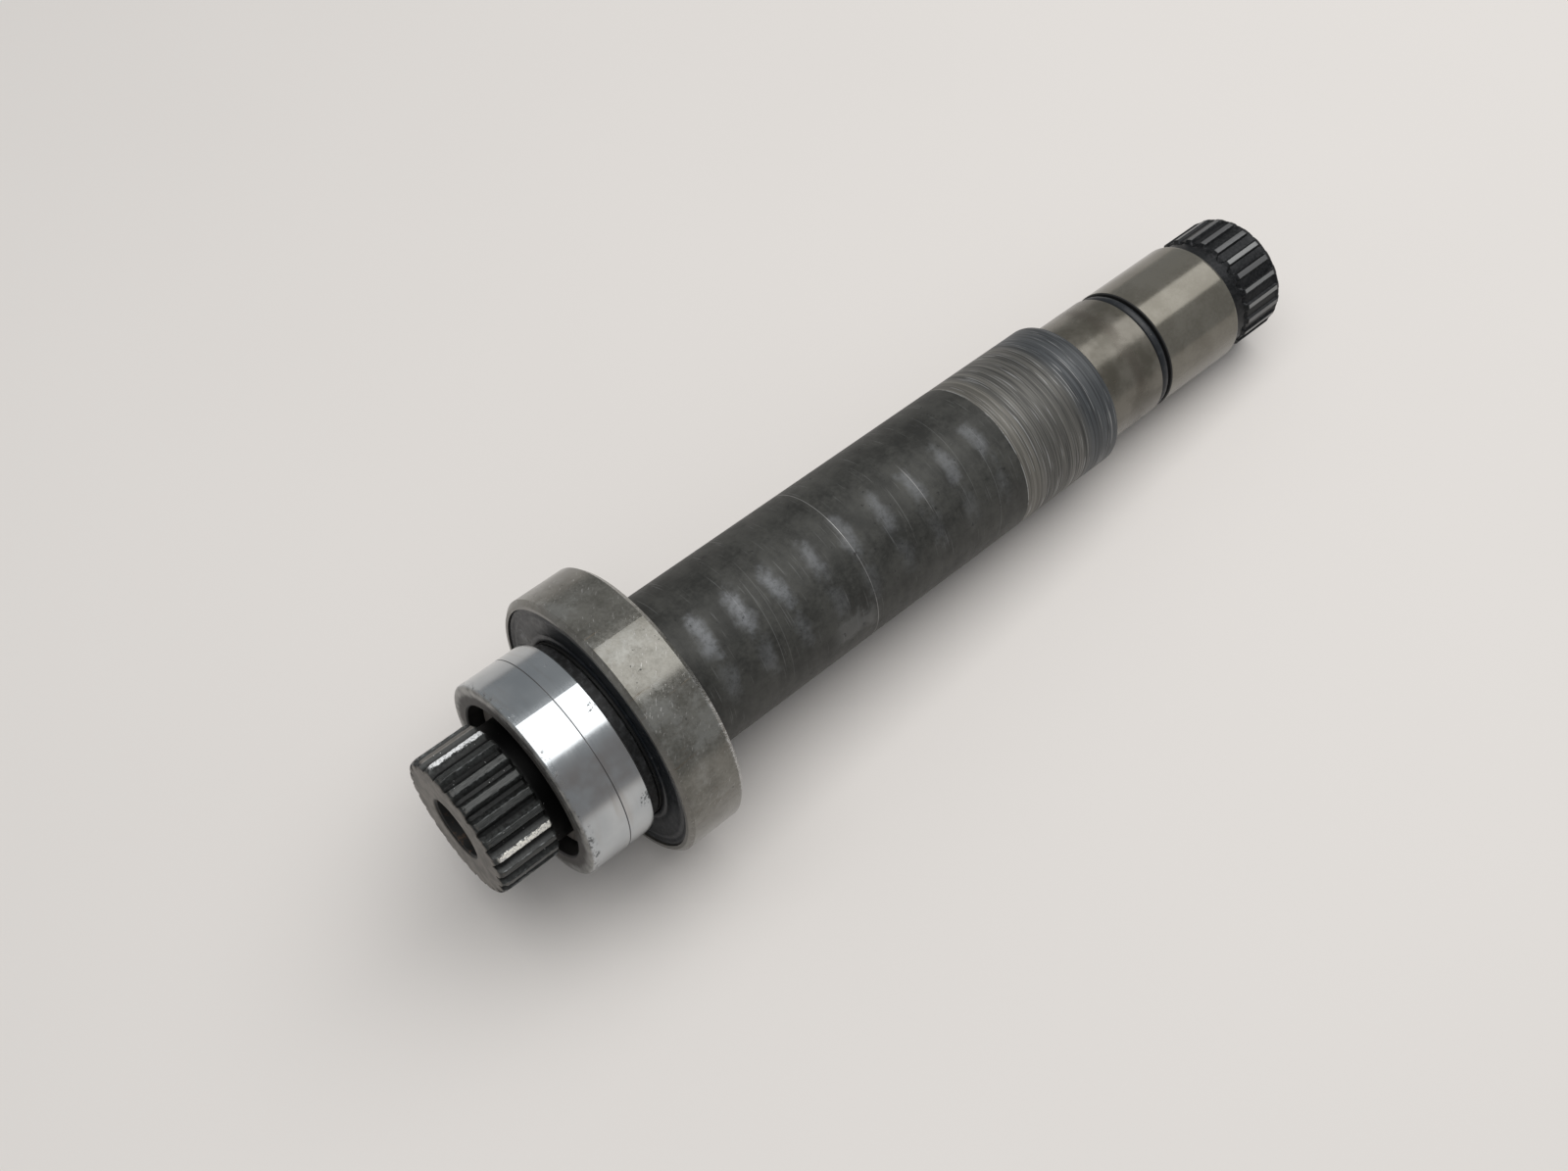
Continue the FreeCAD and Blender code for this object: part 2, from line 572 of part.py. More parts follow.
def place_round(thing, step, half_steps, station="0"):
    """Put a thing on the pitch circle, a number of half ball spacings from the top."""
    angle = f"({half_steps} * 180 deg / Sizes.ball_count)"
    thing.setExpression("Placement.Base.x", station)
    thing.setExpression("Placement.Base.y", f"-Derived.pitch_radius * sin({angle})")
    thing.setExpression("Placement.Base.z", f"Derived.pitch_radius * cos({angle})")
    thing.Label = f"{thing.Label}_{step:02d}"


def make_ball(step):
    ball = doc.addObject("Part::Sphere", "ball")
    ball.Label = "ball"
    ball.setExpression("Radius", "Derived.ball_radius")
    place_round(ball, step, 2 * (step - 1))
    return ball


def rod(name, step, radius, start, length):
    """Round rod along X, midway between two balls."""
    thing = doc.addObject("Part::Cylinder", name)
    thing.Label = name
    thing.Placement = FreeCAD.Placement(
        FreeCAD.Vector(0, 0, 0), FreeCAD.Rotation(FreeCAD.Vector(0, 1, 0), 90))
    thing.setExpression("Radius", radius)
    thing.setExpression("Height", length)
    place_round(thing, step, 2 * step - 1, start)
    return thing


def make_balls():
    return [make_ball(step) for step in range(1, count("ball_count") + 1)]


def repeat_round(body, feature, name, sketch, axis):
    """Repeat a feature at every ball spacing."""
    pattern = body.newObject("PartDesign::PolarPattern", name)
    pattern.Originals = [feature]
    pattern.Axis = (sketch, [axis])
    pattern.Angle = 360.0
    pattern.Occurrences = count("ball_count")
    pattern.setExpression("Occurrences", "Sizes.ball_count")
    body.Tip = pattern
    doc.recompute()
    return pattern


def half_ball(body, kind, name, sign, radius):
    """Half a ball on the X side given by sign, turned about its own axis, at every ball."""
    before = body.Shape.Volume
    pitch = "Derived.pitch_radius"
    middle = FreeCAD.Vector(0, number(pitch), 0)
    tip = middle + FreeCAD.Vector(number(sign + radius), 0, 0)
    side = middle + FreeCAD.Vector(0, number(radius), 0)
    slant = math.sqrt(0.5)
    bulge = middle + (tip - middle) * slant + (side - middle) * slant
    sketch = body.newObject("Sketcher::SketchObject", name + "_outline")
    attach(body, sketch, "XZ_Plane")
    ends = (tip, side) if sign == "" else (side, tip)
    sketch.addGeometry(Part.Arc(ends[0], bulge, ends[1]), False)
    sketch.addGeometry(Part.LineSegment(middle, tip), False)
    sketch.addGeometry(Part.LineSegment(side, middle), False)
    sketch.addGeometry(Part.LineSegment(middle, tip), True)
    tip_end, side_end = (1, 2) if sign == "" else (2, 1)
    for first, second in (((0, tip_end), (1, 2)), ((0, side_end), (2, 1)), ((1, 1), (2, 2)),
                          ((1, 1), (3, 1)), ((1, 2), (3, 2)), ((0, 3), (1, 1))):
        sketch.addConstraint(Sketcher.Constraint("Coincident", *first, *second))
    bind_point(sketch, 1, 1, "0", pitch)
    bind_point(sketch, 1, 2, sign + radius, pitch)
    sketch.addConstraint(Sketcher.Constraint("Vertical", 2))
    doc.recompute()
    feature = body.newObject(kind, name)
    feature.Profile = sketch
    feature.ReferenceAxis = (sketch, ["Axis0"])
    feature.Angle = 360.0
    body.Tip = feature
    doc.recompute()
    one = abs(body.Shape.Volume - before)
    repeat_round(body, feature, name + "_ring", sketch, "H_Axis")
    whole = abs(body.Shape.Volume - before)
    assert abs(whole - one * count("ball_count")) < 0.01 * whole, f"{name} lost a pocket"


def make_cage_half(side, sign):
    """Half of the pressed cage: flat webs between round pockets, all of one sheet thickness."""
    body = new_body(f"cage_{side}_half")
    inner = "(Derived.pitch_radius - Sizes.cage_half_band)"
    outer = "(Derived.pitch_radius + Sizes.cage_half_band)"
    deep = "Derived.pocket_outer_radius"
    web_face = f"{sign}Sizes.cage_sheet"
    past = f"{sign}2 * {deep}"
    turn(body, f"{side}_web", [("0", inner), (web_face, inner), (web_face, outer), ("0", outer)])
    half_ball(body, "PartDesign::Revolution", f"{side}_dome", sign, deep)
    turn_away(body, f"{side}_outside", [
        ("0", outer), (past, outer), (past, f"{outer} + {deep}"), ("0", f"{outer} + {deep}")])
    turn_away(body, f"{side}_inside", [
        ("0", inner), (past, inner), (past, f"{inner} - {deep}"), ("0", f"{inner} - {deep}")])
    half_ball(body, "PartDesign::Groove", f"{side}_pocket", sign, "Derived.pocket_radius")
    drill_rivet_holes(body, f"{side}_hole", sign)
    return body


def drill_rivet_holes(body, name, sign):
    """Rivet holes through the webs, one midway between each two balls."""
    before = body.Shape.Volume
    angle = "(180 deg / Sizes.ball_count)"
    across = f"-Derived.pitch_radius * sin({angle})"
    up = f"Derived.pitch_radius * cos({angle})"
    radius = "Sizes.rivet_dia / 2"
    sketch = body.newObject("Sketcher::SketchObject", name + "_outline")
    attach(body, sketch, "YZ_Plane")
    centre = FreeCAD.Vector(number(across), number(up), 0)
    sketch.addGeometry(Part.Circle(centre, FreeCAD.Vector(0, 0, 1), number(radius)), False)
    bind_point(sketch, 0, 3, across, up)
    index = sketch.addConstraint(Sketcher.Constraint("Radius", 0, number(radius)))
    sketch.setExpression(f"Constraints[{index}]", radius)
    hole = body.newObject("PartDesign::Pocket", name)
    hole.Profile = sketch
    hole.Length = number("Sizes.cage_sheet")
    hole.setExpression("Length", "Sizes.cage_sheet")
    hole.Reversed = sign == ""
    body.Tip = hole
    doc.recompute()
    one = before - body.Shape.Volume
    assert one > 0, f"{name} cuts nothing"
    repeat_round(body, hole, name + "_ring", sketch, "N_Axis")
    whole = before - body.Shape.Volume
    assert abs(whole - one * count("ball_count")) < 0.01 * whole, f"{name} lost a hole"


def make_rivets():
    """Rivets through both halves of the cage, one between each two balls."""
    rivets = []
    head = "Sizes.rivet_head_height"
    head_radius = "Sizes.rivet_head_dia / 2"
    for step in range(1, count("ball_count") + 1):
        rivet = doc.addObject("Part::MultiFuse", "rivet")
        rivet.Shapes = [
            rod("rivet_shank", step, "Sizes.rivet_dia / 2", "-Sizes.cage_sheet",
                "2 * Sizes.cage_sheet"),
            rod("rivet_front_head", step, head_radius, f"-Sizes.cage_sheet - {head}", head),
            rod("rivet_rear_head", step, head_radius, "Sizes.cage_sheet", head),
        ]
        rivets.append(rivet)
    group = doc.addObject("Part::Compound", "cage_rivets")
    group.Label = "cage_rivets"
    group.Links = rivets
    return group


# ---------------------------------------------------------------- build, check, write

pieces = [make_shaft(), make_collar(), make_snap_ring(), make_collar_o_ring(), make_journal_o_ring(),
          make_inner_ring(), make_outer_ring()]
pieces += make_seal("front", "-")
pieces += make_seal("rear", "")
pieces += make_balls()
pieces += [make_cage_half("front", "-"), make_cage_half("rear", ""), make_rivets()]
doc.recompute()

for item in doc.Objects:
    bad = {"Invalid", "Error"} & set(item.State)
    assert not bad, f"{item.Label} is in state {item.State}"

names = [piece.Label for piece in pieces]
assert len(set(names)) == len(names), "two pieces share a name"

os.makedirs("parts", exist_ok=True)
for piece in pieces:
    shape = piece.Shape
    assert not shape.isNull() and shape.isValid(), f"{piece.Label} has no sound shape"
    print(f"{piece.Label:24s} solids {len(shape.Solids):2d}  volume {shape.Volume:12.3f}")
for piece in pieces:
    piece.Shape.exportStep(f"parts/{piece.Label}.step")
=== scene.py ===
import bmesh
import bpy
import json
import math
from mathutils import Matrix, Vector, noise


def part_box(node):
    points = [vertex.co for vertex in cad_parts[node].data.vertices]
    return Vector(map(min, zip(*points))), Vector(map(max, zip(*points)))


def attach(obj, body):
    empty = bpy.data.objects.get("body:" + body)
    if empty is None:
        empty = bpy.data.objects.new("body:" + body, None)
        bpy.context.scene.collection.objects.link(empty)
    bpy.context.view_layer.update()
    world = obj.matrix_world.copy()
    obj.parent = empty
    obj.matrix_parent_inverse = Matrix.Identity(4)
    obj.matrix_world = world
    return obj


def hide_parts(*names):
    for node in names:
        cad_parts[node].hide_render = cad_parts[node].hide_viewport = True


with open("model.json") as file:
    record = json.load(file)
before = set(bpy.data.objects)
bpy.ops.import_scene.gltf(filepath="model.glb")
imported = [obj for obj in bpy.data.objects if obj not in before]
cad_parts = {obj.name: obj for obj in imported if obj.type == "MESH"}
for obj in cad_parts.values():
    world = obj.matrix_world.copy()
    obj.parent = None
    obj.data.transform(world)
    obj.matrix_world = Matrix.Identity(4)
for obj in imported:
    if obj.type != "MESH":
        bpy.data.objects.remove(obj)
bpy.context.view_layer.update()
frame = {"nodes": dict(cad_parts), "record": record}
NODES = frame["nodes"]
MOUNTS = {mount["name"]: mount for mount in frame["record"]["mounts"]}
MM = 0.001

# The shaft lies along X, its front end towards -X, with the bearing's centre at the origin. A turn
# about X is measured from +Z towards -Y.


def span(name):
    """Lowest and highest X of a round mount's wall."""
    mount = MOUNTS[name]
    half = mount["dims"]["length_mm"] * MM / 2
    return mount["pos_m"][0] - half, mount["pos_m"][0] + half


def radius_of(name):
    """Radius of a node about the X axis."""
    low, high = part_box(name)
    return (high[2] - low[2]) / 2


def mount_radius(name):
    return MOUNTS[name]["dims"]["r_mm"] * MM


# ---------------------------------------------------------------- stations and radii

FRONT_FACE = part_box("shaft")[0][0]
REAR_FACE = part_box("shaft")[1][0]
COLLAR_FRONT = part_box("seal_collar")[0][0]
COLLAR_RADIUS = radius_of("seal_collar")
BEARING_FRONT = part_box("bearing_outer_ring")[0][0]
BEARING_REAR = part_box("bearing_outer_ring")[1][0]
SEAL_LAND_END = span("seal_land")[1]
BORE_END = span("front_bore")[1]
BARREL_REAR = span("barrel")[1]
FRONT_JOURNAL = span("front_journal")
REAR_JOURNAL = span("rear_journal")

BORE_RADIUS = mount_radius("front_bore")
SEAT_RADIUS = 17.5 * MM
BARREL_RADIUS = mount_radius("barrel")
FRONT_JOURNAL_RADIUS = mount_radius("front_journal")
REAR_JOURNAL_RADIUS = mount_radius("rear_journal")
FRONT_NECK_RADIUS = 14.0 * MM
REAR_NECK_RADIUS = 14.5 * MM

FRONT_SPLINE_LENGTH = 13.8 * MM
REAR_SPLINE_LENGTH = 13.2 * MM
FRONT_TAIL = FRONT_FACE + FRONT_SPLINE_LENGTH
REAR_HEAD = REAR_FACE - REAR_SPLINE_LENGTH
SEAT_FRONT = FRONT_TAIL + 5.7 * MM
BAND_FRONT = BARREL_REAR - 30.0 * MM
BARREL_CHAMFER = 0.6 * MM
GROOVE_EDGE = 0.25 * MM
JOURNAL_CHAMFER = 0.7 * MM
JOURNAL_END = REAR_JOURNAL[1] + JOURNAL_CHAMFER

# ---------------------------------------------------------------- splines

class Spline:
    """Outline of one end's teeth: straight flanks at the pressure angle and a full-radius root."""

    MODULE = 1.27 * MM
    PRESSURE_ANGLE = math.radians(30)

    def __init__(self, teeth, root_factor, turn):
        quarter_pitch = math.pi / 2 / teeth
        pitch_radius = self.MODULE * teeth / 2
        self.teeth = teeth
        self.turn = math.radians(turn)
        self.half_pitch = math.pi / teeth
        self.crown = self.MODULE * (teeth + 1) / 2
        self.root = self.MODULE * (teeth - root_factor) / 2
        self.flank = self.PRESSURE_ANGLE + quarter_pitch
        self.apex = pitch_radius * (math.cos(quarter_pitch)
                                    - math.sin(quarter_pitch) / math.tan(self.flank))
        slant = math.sin(self.flank)
        self.fillet = (self.root - self.apex) * slant / (1 - slant)
        self.centre = self.root + self.fillet
        self.touch = math.atan2(self.fillet * math.cos(self.flank), self.centre - self.fillet * slant)
        self.corner = (self.flank - math.asin(self.apex * slant / self.crown)) / self.half_pitch

    def space(self, angle):
        """Radius of the space's wall, at an angle from the middle of the space."""
        if angle < self.touch:
            reach = self.centre * math.sin(angle)
            return self.centre * math.cos(angle) - math.sqrt(self.fillet ** 2 - reach ** 2)
        spread = math.cos(angle) * math.tan(self.flank) - math.sin(angle)
        if spread < 0.01:
            return 2 * self.crown
        return self.apex * math.tan(self.flank) / spread

    def shares(self):
        """Places across one pitch, as shares of half a pitch, close together at the tooth's corners."""
        touch = self.touch / self.half_pitch
        near = [self.corner + step for step in (-0.06, -0.03, -0.01, 0.012, 0.035, 0.07)]
        half = [0.35 * touch, 0.7 * touch, touch, (touch + self.corner) / 2] + near + [0.85]
        return [-share for share in reversed(half)] + [0.0] + half + [1.0]


FRONT_SPLINE = Spline(24, 1.8, -6.0)
REAR_SPLINE = Spline(23, 1.35, 7.2)


def soft_least(first, second, width):
    """Lesser of two lengths, rounded over where they cross."""
    share = max(width - abs(first - second), 0) / width
    return min(first, second) - share * share * width / 4


def rounded_end(crown, distance, length, drop):
    """Crown radius at a distance in from the end face: a quarter ellipse."""
    if distance >= length:
        return crown
    away = 1 - distance / length
    return crown - drop + drop * math.sqrt(max(1 - away * away, 0))


# ---------------------------------------------------------------- floor

# The part lies on the bearing's outer ring and on the rear spline, so it leans a little.
REST_AT_BEARING = BEARING_REAR - 1.0 * MM
REST_AT_SPLINE = REAR_FACE - 1.8 * MM
RISE = radius_of("bearing_outer_ring") - REAR_SPLINE.crown
LEAN = math.atan(RISE / (REST_AT_SPLINE - REST_AT_BEARING))
FLOOR_UP = Vector((-math.sin(LEAN), 0, math.cos(LEAN)))
FLOOR_ALONG = Vector((math.cos(LEAN), 0, math.sin(LEAN)))
FLOOR_ACROSS = Vector((0, 1, 0))
FLOOR_POINT = Vector((REST_AT_BEARING, 0, -radius_of("bearing_outer_ring")))
FLOOR_GAP = 0.05 * MM
STAND = Matrix.Translation(FLOOR_POINT - FLOOR_UP * FLOOR_GAP) @ Matrix((
    (FLOOR_ALONG.x, FLOOR_ACROSS.x, FLOOR_UP.x, 0),
    (FLOOR_ALONG.y, FLOOR_ACROSS.y, FLOOR_UP.y, 0),
    (FLOOR_ALONG.z, FLOOR_ACROSS.z, FLOOR_UP.z, 0),
    (0, 0, 0, 1)))


# ---------------------------------------------------------------- turned meshes

def steps(start, stop, count):
    return [start + (stop - start) * index / count for index in range(count + 1)]


BRACE = 0.25 * MM


def braced(rings):
    """Add a ring close to each end of every long plain span, which keeps its shading straight."""
    made = [rings[0]]
    for (start, near), (stop, far) in zip(rings, rings[1:]):
        length = abs(stop - start)
        if not callable(near) and not callable(far) and length > 2.5 * BRACE:
            for share in (BRACE / length, 1 - BRACE / length):
                made.append((start + (stop - start) * share, near + (far - near) * share))
        made.append((stop, far))
    return made


def turned(angles, rings, tips=None):
    """Points and faces of a solid round X. A ring is a station and a radius, which is a length or a
    function of the angle's index. The solid runs to a tip at each end, or else its last ring meets
    its first."""
    count = len(angles)
    points = []
    for station, radius in rings:
        for index, angle in enumerate(angles):
            reach = radius(index) if callable(radius) else radius
            points.append((station, -reach * math.sin(angle), reach * math.cos(angle)))
    pairs = [(row, row + 1) for row in range(len(rings) - 1)]
    if tips is None:
        pairs.append((len(rings) - 1, 0))
    faces = [(low * count + index, low * count + (index + 1) % count,
              high * count + (index + 1) % count, high * count + index)
             for low, high in pairs for index in range(count)]
    for row, tip in zip((0, len(rings) - 1), tips or ()):
        points.append((tip, 0, 0))
        faces += [(row * count + index, row * count + (index + 1) % count, len(points) - 1)
                  for index in range(count)]
    return points, faces


def mesh_piece(name, solids, sharp_angle):
    """Object made of one or more solids, smooth but for its sharp edges."""
    points = []
    faces = []
    for more_points, more_faces in solids:
        offset = len(points)
        points += more_points
        faces += [tuple(offset + corner for corner in face) for face in more_faces]
    mesh = bpy.data.meshes.new(name)
    mesh.from_pydata(points, [], faces)
    shaped = bmesh.new()
    shaped.from_mesh(mesh)
    bmesh.ops.recalc_face_normals(shaped, faces=shaped.faces)
    for face in shaped.faces:
        face.smooth = True
    shaped.to_mesh(mesh)
    shaped.free()
    mesh.set_sharp_from_angle(angle=math.radians(sharp_angle))
    piece = bpy.data.objects.new(name, mesh)
    bpy.context.scene.collection.objects.link(piece)
    return piece


def spline_angles(spline):
    return [spline.turn + 2 * tooth * spline.half_pitch + share * spline.half_pitch
            for tooth in range(spline.teeth) for share in spline.shares()]


def spline_walls(spline):
    """Radius of the space's wall at each angle of spline_angles."""
    return [spline.space(abs(share) * spline.half_pitch) for share in spline.shares()] * spline.teeth


def chip(station, angle, radius, depth, grain):
    """Material broken out of an edge: nothing over most of it and up to depth in a few places."""
    place = Vector((station / grain, radius * math.sin(angle) / grain, radius * math.cos(angle) / grain))
    return depth * max(noise.noise(place) - 0.12, 0) / 0.5


# ---------------------------------------------------------------- shaft

SHAFT_SHARP_ANGLE = 32
CORNER_WEAR = 0.16 * MM
BAND_STEP = 0.02 * MM
SNAP_RING_GROOVE = 0.8 * MM
O_RING_GROOVE = 2.85 * MM
DRILL_POINT = math.radians(59)
CENTRE_RADIUS = 2.0 * MM
CENTRE_MOUTH = 4.0 * MM
CENTRE_PILOT = 5.0 * MM
CENTRE_CONE = math.radians(30)

# The front end and the main length are two solids that meet at this station, hidden in the collar.
SPLIT = COLLAR_FRONT + 9.0 * MM

# Dirt fills the front spline's spaces, and old grease the rear's, up to this far below the crowns. The
# grease rises over a short length near the rear face, measured from the neck's end of the teeth.
DIRT_DEPTH = 1.25 * MM
GREASE_DEPTH = 0.55 * MM
GREASE_DEPTH_AT_FACE = 0.1 * MM
GREASE_RISE_START = 11.3 * MM
GREASE_RISE_LENGTH = 0.9 * MM


def front_end():
    """Front spline with its bore and neck, back to a plane hidden inside the collar."""
    spline = FRONT_SPLINE
    angles = spline_angles(spline)
    walls = spline_walls(spline)
    face_radius = 13.2 * MM
    least_radius = 13.4 * MM
    round_length = 1.7 * MM
    round_drop = 1.08 * MM
    tail_chamfer = 0.6 * MM
    dirt_fillet = 0.5 * MM
    frayed_length = 1.3 * MM
    chip_depth = 0.55 * MM
    chip_size = 0.9 * MM
    bruise_depth = 0.1 * MM
    bruise_size = 0.6 * MM
    rings = [
        (BORE_END, BORE_RADIUS),
        (FRONT_FACE + 0.6 * MM, BORE_RADIUS),
        (FRONT_FACE + 0.1 * MM, BORE_RADIUS + 0.5 * MM),
        (FRONT_FACE, BORE_RADIUS + 0.65 * MM),
        (FRONT_FACE, 10.5 * MM),
        (FRONT_FACE, face_radius),
    ]

    def outline(depth):
        """Radius at each angle; depth is measured from the front face."""
        station = FRONT_FACE + depth
        crown = rounded_end(spline.crown, depth, round_length, round_drop)
        crown = min(crown, spline.crown - max(depth - (FRONT_SPLINE_LENGTH - tail_chamfer), 0))
        near_end = math.exp(-depth / frayed_length)
        dirt = crown - DIRT_DEPTH

        def radius(index):
            floor = -soft_least(-walls[index], -dirt, dirt_fillet)
            worn = soft_least(crown, floor, CORNER_WEAR)
            broken = chip(station, angles[index], spline.crown, chip_depth * near_end, chip_size)
            bruise = chip(station, angles[index], spline.crown, bruise_depth, bruise_size)
            on_crown = worn > spline.crown - 0.3 * MM
            return max(worn - broken - bruise * on_crown, least_radius)
        return radius

    first = [0, 0.03, 0.1, 0.2, 0.35, 0.55, 0.8, 1.1, 1.4, 1.7, 2.0, 2.4]
    last = [13.0, 13.2, 13.4, 13.6, 13.8]
    for depth in first + steps(2.8, 12.6, 20) + last:
        rings.append((FRONT_FACE + depth * MM, outline(depth * MM)))
    groove_front = SEAT_FRONT + 1.0 * MM
    groove_rear = SEAT_FRONT + 2.6 * MM
    rings += [
        (FRONT_TAIL, FRONT_NECK_RADIUS - 0.02 * MM),
        (FRONT_TAIL + 0.3 * MM, FRONT_NECK_RADIUS),
        (SEAT_FRONT - 0.3 * MM, FRONT_NECK_RADIUS),
        (SEAT_FRONT - 0.1 * MM, FRONT_NECK_RADIUS + 0.1 * MM),
        (SEAT_FRONT, FRONT_NECK_RADIUS + 0.3 * MM),
        (SEAT_FRONT, SEAT_RADIUS - 0.2 * MM),
        (SEAT_FRONT + 0.2 * MM, SEAT_RADIUS),
        (groove_front, SEAT_RADIUS),
        (groove_front, SEAT_RADIUS - SNAP_RING_GROOVE),
        (groove_rear, SEAT_RADIUS - SNAP_RING_GROOVE),
        (groove_rear, SEAT_RADIUS),
        (SPLIT, SEAT_RADIUS),
    ]
    bore_tip = BORE_END + BORE_RADIUS / math.tan(DRILL_POINT)
    return turned(angles, braced(rings), (bore_tip, SPLIT))


def main_length():
    """Seat, barrel, ground band, journals, rear neck and rear spline."""
    spline = REAR_SPLINE
    angles = spline_angles(spline)
    walls = spline_walls(spline)
    journal_floor = REAR_JOURNAL_RADIUS - O_RING_GROOVE
    band_radius = BARREL_RADIUS - BAND_STEP
    barrel_end = BARREL_REAR + BARREL_CHAMFER
    groove_front = FRONT_JOURNAL[1] + GROOVE_EDGE
    groove_rear = REAR_JOURNAL[0] - GROOVE_EDGE
    fillet = FRONT_JOURNAL[0] - barrel_end
    rings = [
        (SPLIT, SEAT_RADIUS),
        (BEARING_REAR, SEAT_RADIUS),
        (BEARING_REAR, BARREL_RADIUS - 0.15 * MM),
        (BEARING_REAR + 0.15 * MM, BARREL_RADIUS),
    ]
    rings += [(station, BARREL_RADIUS) for station in steps(BEARING_REAR + 1 * MM, BAND_FRONT, 2)]
    rings += [(BAND_FRONT, band_radius)]
    rings += [(station, band_radius) for station in steps(BAND_FRONT + 1 * MM, BARREL_REAR - 0.1 * MM, 3)]
    rings += [
        (BARREL_REAR + 0.04 * MM, band_radius - 0.02 * MM),
        (barrel_end - 0.04 * MM, band_radius - BARREL_CHAMFER + 0.04 * MM),
        (barrel_end, band_radius - BARREL_CHAMFER - 0.02 * MM),
    ]
    for turn in steps(90, 0, 4):
        lean = math.radians(turn)
        rings.append((barrel_end + fillet * (1 - math.sin(lean)),
                      FRONT_JOURNAL_RADIUS + fillet * (1 - math.cos(lean))))
    rings += [
        (FRONT_JOURNAL[0] + 2 * MM, FRONT_JOURNAL_RADIUS),
        (FRONT_JOURNAL[1], FRONT_JOURNAL_RADIUS),
        (groove_front, FRONT_JOURNAL_RADIUS - GROOVE_EDGE),
        (groove_front, journal_floor),
        (groove_rear, journal_floor),
        (groove_rear, REAR_JOURNAL_RADIUS - GROOVE_EDGE),
        (REAR_JOURNAL[0], REAR_JOURNAL_RADIUS),
        (REAR_JOURNAL[0] + 3 * MM, REAR_JOURNAL_RADIUS),
        (REAR_JOURNAL[1] - 0.2 * MM, REAR_JOURNAL_RADIUS),
        (REAR_JOURNAL[1] + 0.1 * MM, REAR_JOURNAL_RADIUS - 0.05 * MM),
        (JOURNAL_END, REAR_JOURNAL_RADIUS - JOURNAL_CHAMFER),
        (JOURNAL_END, REAR_NECK_RADIUS + 0.2 * MM),
        (JOURNAL_END + 0.2 * MM, REAR_NECK_RADIUS),
    ]
    face_radius = 12.6 * MM
    least_radius = 13.0 * MM
    round_length = 1.8 * MM
    round_drop = 1.2 * MM
    head_chamfer = 0.6 * MM
    cutter_curve = 2.2 * MM
    frayed_length = 0.8 * MM
    chip_depth = 0.3 * MM
    chip_size = 0.8 * MM

    def outline(depth):
        """Radius at each angle; depth is measured from the neck's end of the teeth."""
        station = REAR_HEAD + depth
        crown = rounded_end(spline.crown, REAR_SPLINE_LENGTH - depth, round_length, round_drop)
        crown = min(crown, max(spline.crown - head_chamfer + depth, REAR_NECK_RADIUS))
        run_out = max(head_chamfer - depth, 0) ** 2 / cutter_curve
        near_end = math.exp(-(REAR_SPLINE_LENGTH - depth) / frayed_length)
        closing = min(max((depth - GREASE_RISE_START) / GREASE_RISE_LENGTH, 0), 1)
        grease = crown - GREASE_DEPTH * (1 - closing) - GREASE_DEPTH_AT_FACE * closing

        def radius(index):
            worn = soft_least(crown, max(walls[index] + run_out, grease), CORNER_WEAR)
            broken = chip(station, angles[index], spline.crown, chip_depth * near_end, chip_size)
            return max(worn - broken, least_radius)
        return radius

    first = [-1.9, -1.6, -1.3, -1.0, -0.7, -0.4, -0.2, 0.0, 0.15, 0.3, 0.45, 0.6, 0.8, 1.1]
    last = [11.4, 11.7, 12.0, 12.3, 12.6, 12.8, 13.0, 13.1, 13.17, 13.2]
    for depth in first + steps(1.8, 11.0, 8) + last:
        rings.append((REAR_HEAD + depth * MM, outline(depth * MM)))
    cone_end = REAR_FACE - (CENTRE_MOUTH - CENTRE_RADIUS) / math.tan(CENTRE_CONE)
    pilot_end = cone_end - CENTRE_PILOT
    rings += [
        (REAR_FACE, face_radius),
        (REAR_FACE, 8.0 * MM),
        (REAR_FACE, CENTRE_MOUTH),
        (cone_end, CENTRE_RADIUS),
        (pilot_end, CENTRE_RADIUS),
    ]
    return turned(angles, braced(rings), (SPLIT, pilot_end))


# ---------------------------------------------------------------- seals

LIP_RADIUS = 21.05 * MM
SEAL_FACETS = 192
SEAL_SHARP_ANGLE = 50

# Each pair is a depth in from the seal's face and a place across it, both as shares: the back, the lip
# on the inner ring, a rib, the flat web with a second rib, and the bead in the outer ring.
SEAL_SHAPE = [
    (1.0, 0.0), (0.25, 0.0), (0.06, 0.02), (0.0, 0.05), (0.0, 0.11), (0.08, 0.14), (0.24, 0.165),
    (0.26, 0.2), (0.2, 0.24), (0.17, 0.4), (0.17, 0.66), (0.1, 0.69), (0.07, 0.715), (0.07, 0.755),
    (0.1, 0.78), (0.2, 0.81), (0.22, 0.85), (0.08, 0.885), (0.02, 0.92), (0.0, 0.96), (0.03, 0.99),
    (0.12, 1.0), (1.0, 1.0),
]


def make_seal(side, sign):
    """Moulded seal on the side of the bearing that sign gives."""
    node = side + "_seal_rubber"
    low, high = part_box(node)
    face, back = (high[0], low[0]) if sign > 0 else (low[0], high[0])
    width = radius_of(node) - LIP_RADIUS
    rings = [(face + (back - face) * inward, LIP_RADIUS + share * width) for inward, share in SEAL_SHAPE]
    angles = steps(0, 2 * math.pi, SEAL_FACETS)[:-1]
    seal = mesh_piece(side + "_moulded_seal", [turned(angles, rings)], SEAL_SHARP_ANGLE)
    seal.data.materials.append(RUBBER)
    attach(seal, "housing_side")
    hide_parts(node)


# ---------------------------------------------------------------- node helpers

# Places are in metres, so a noise scale of 1000 gives marks about a millimetre apart.

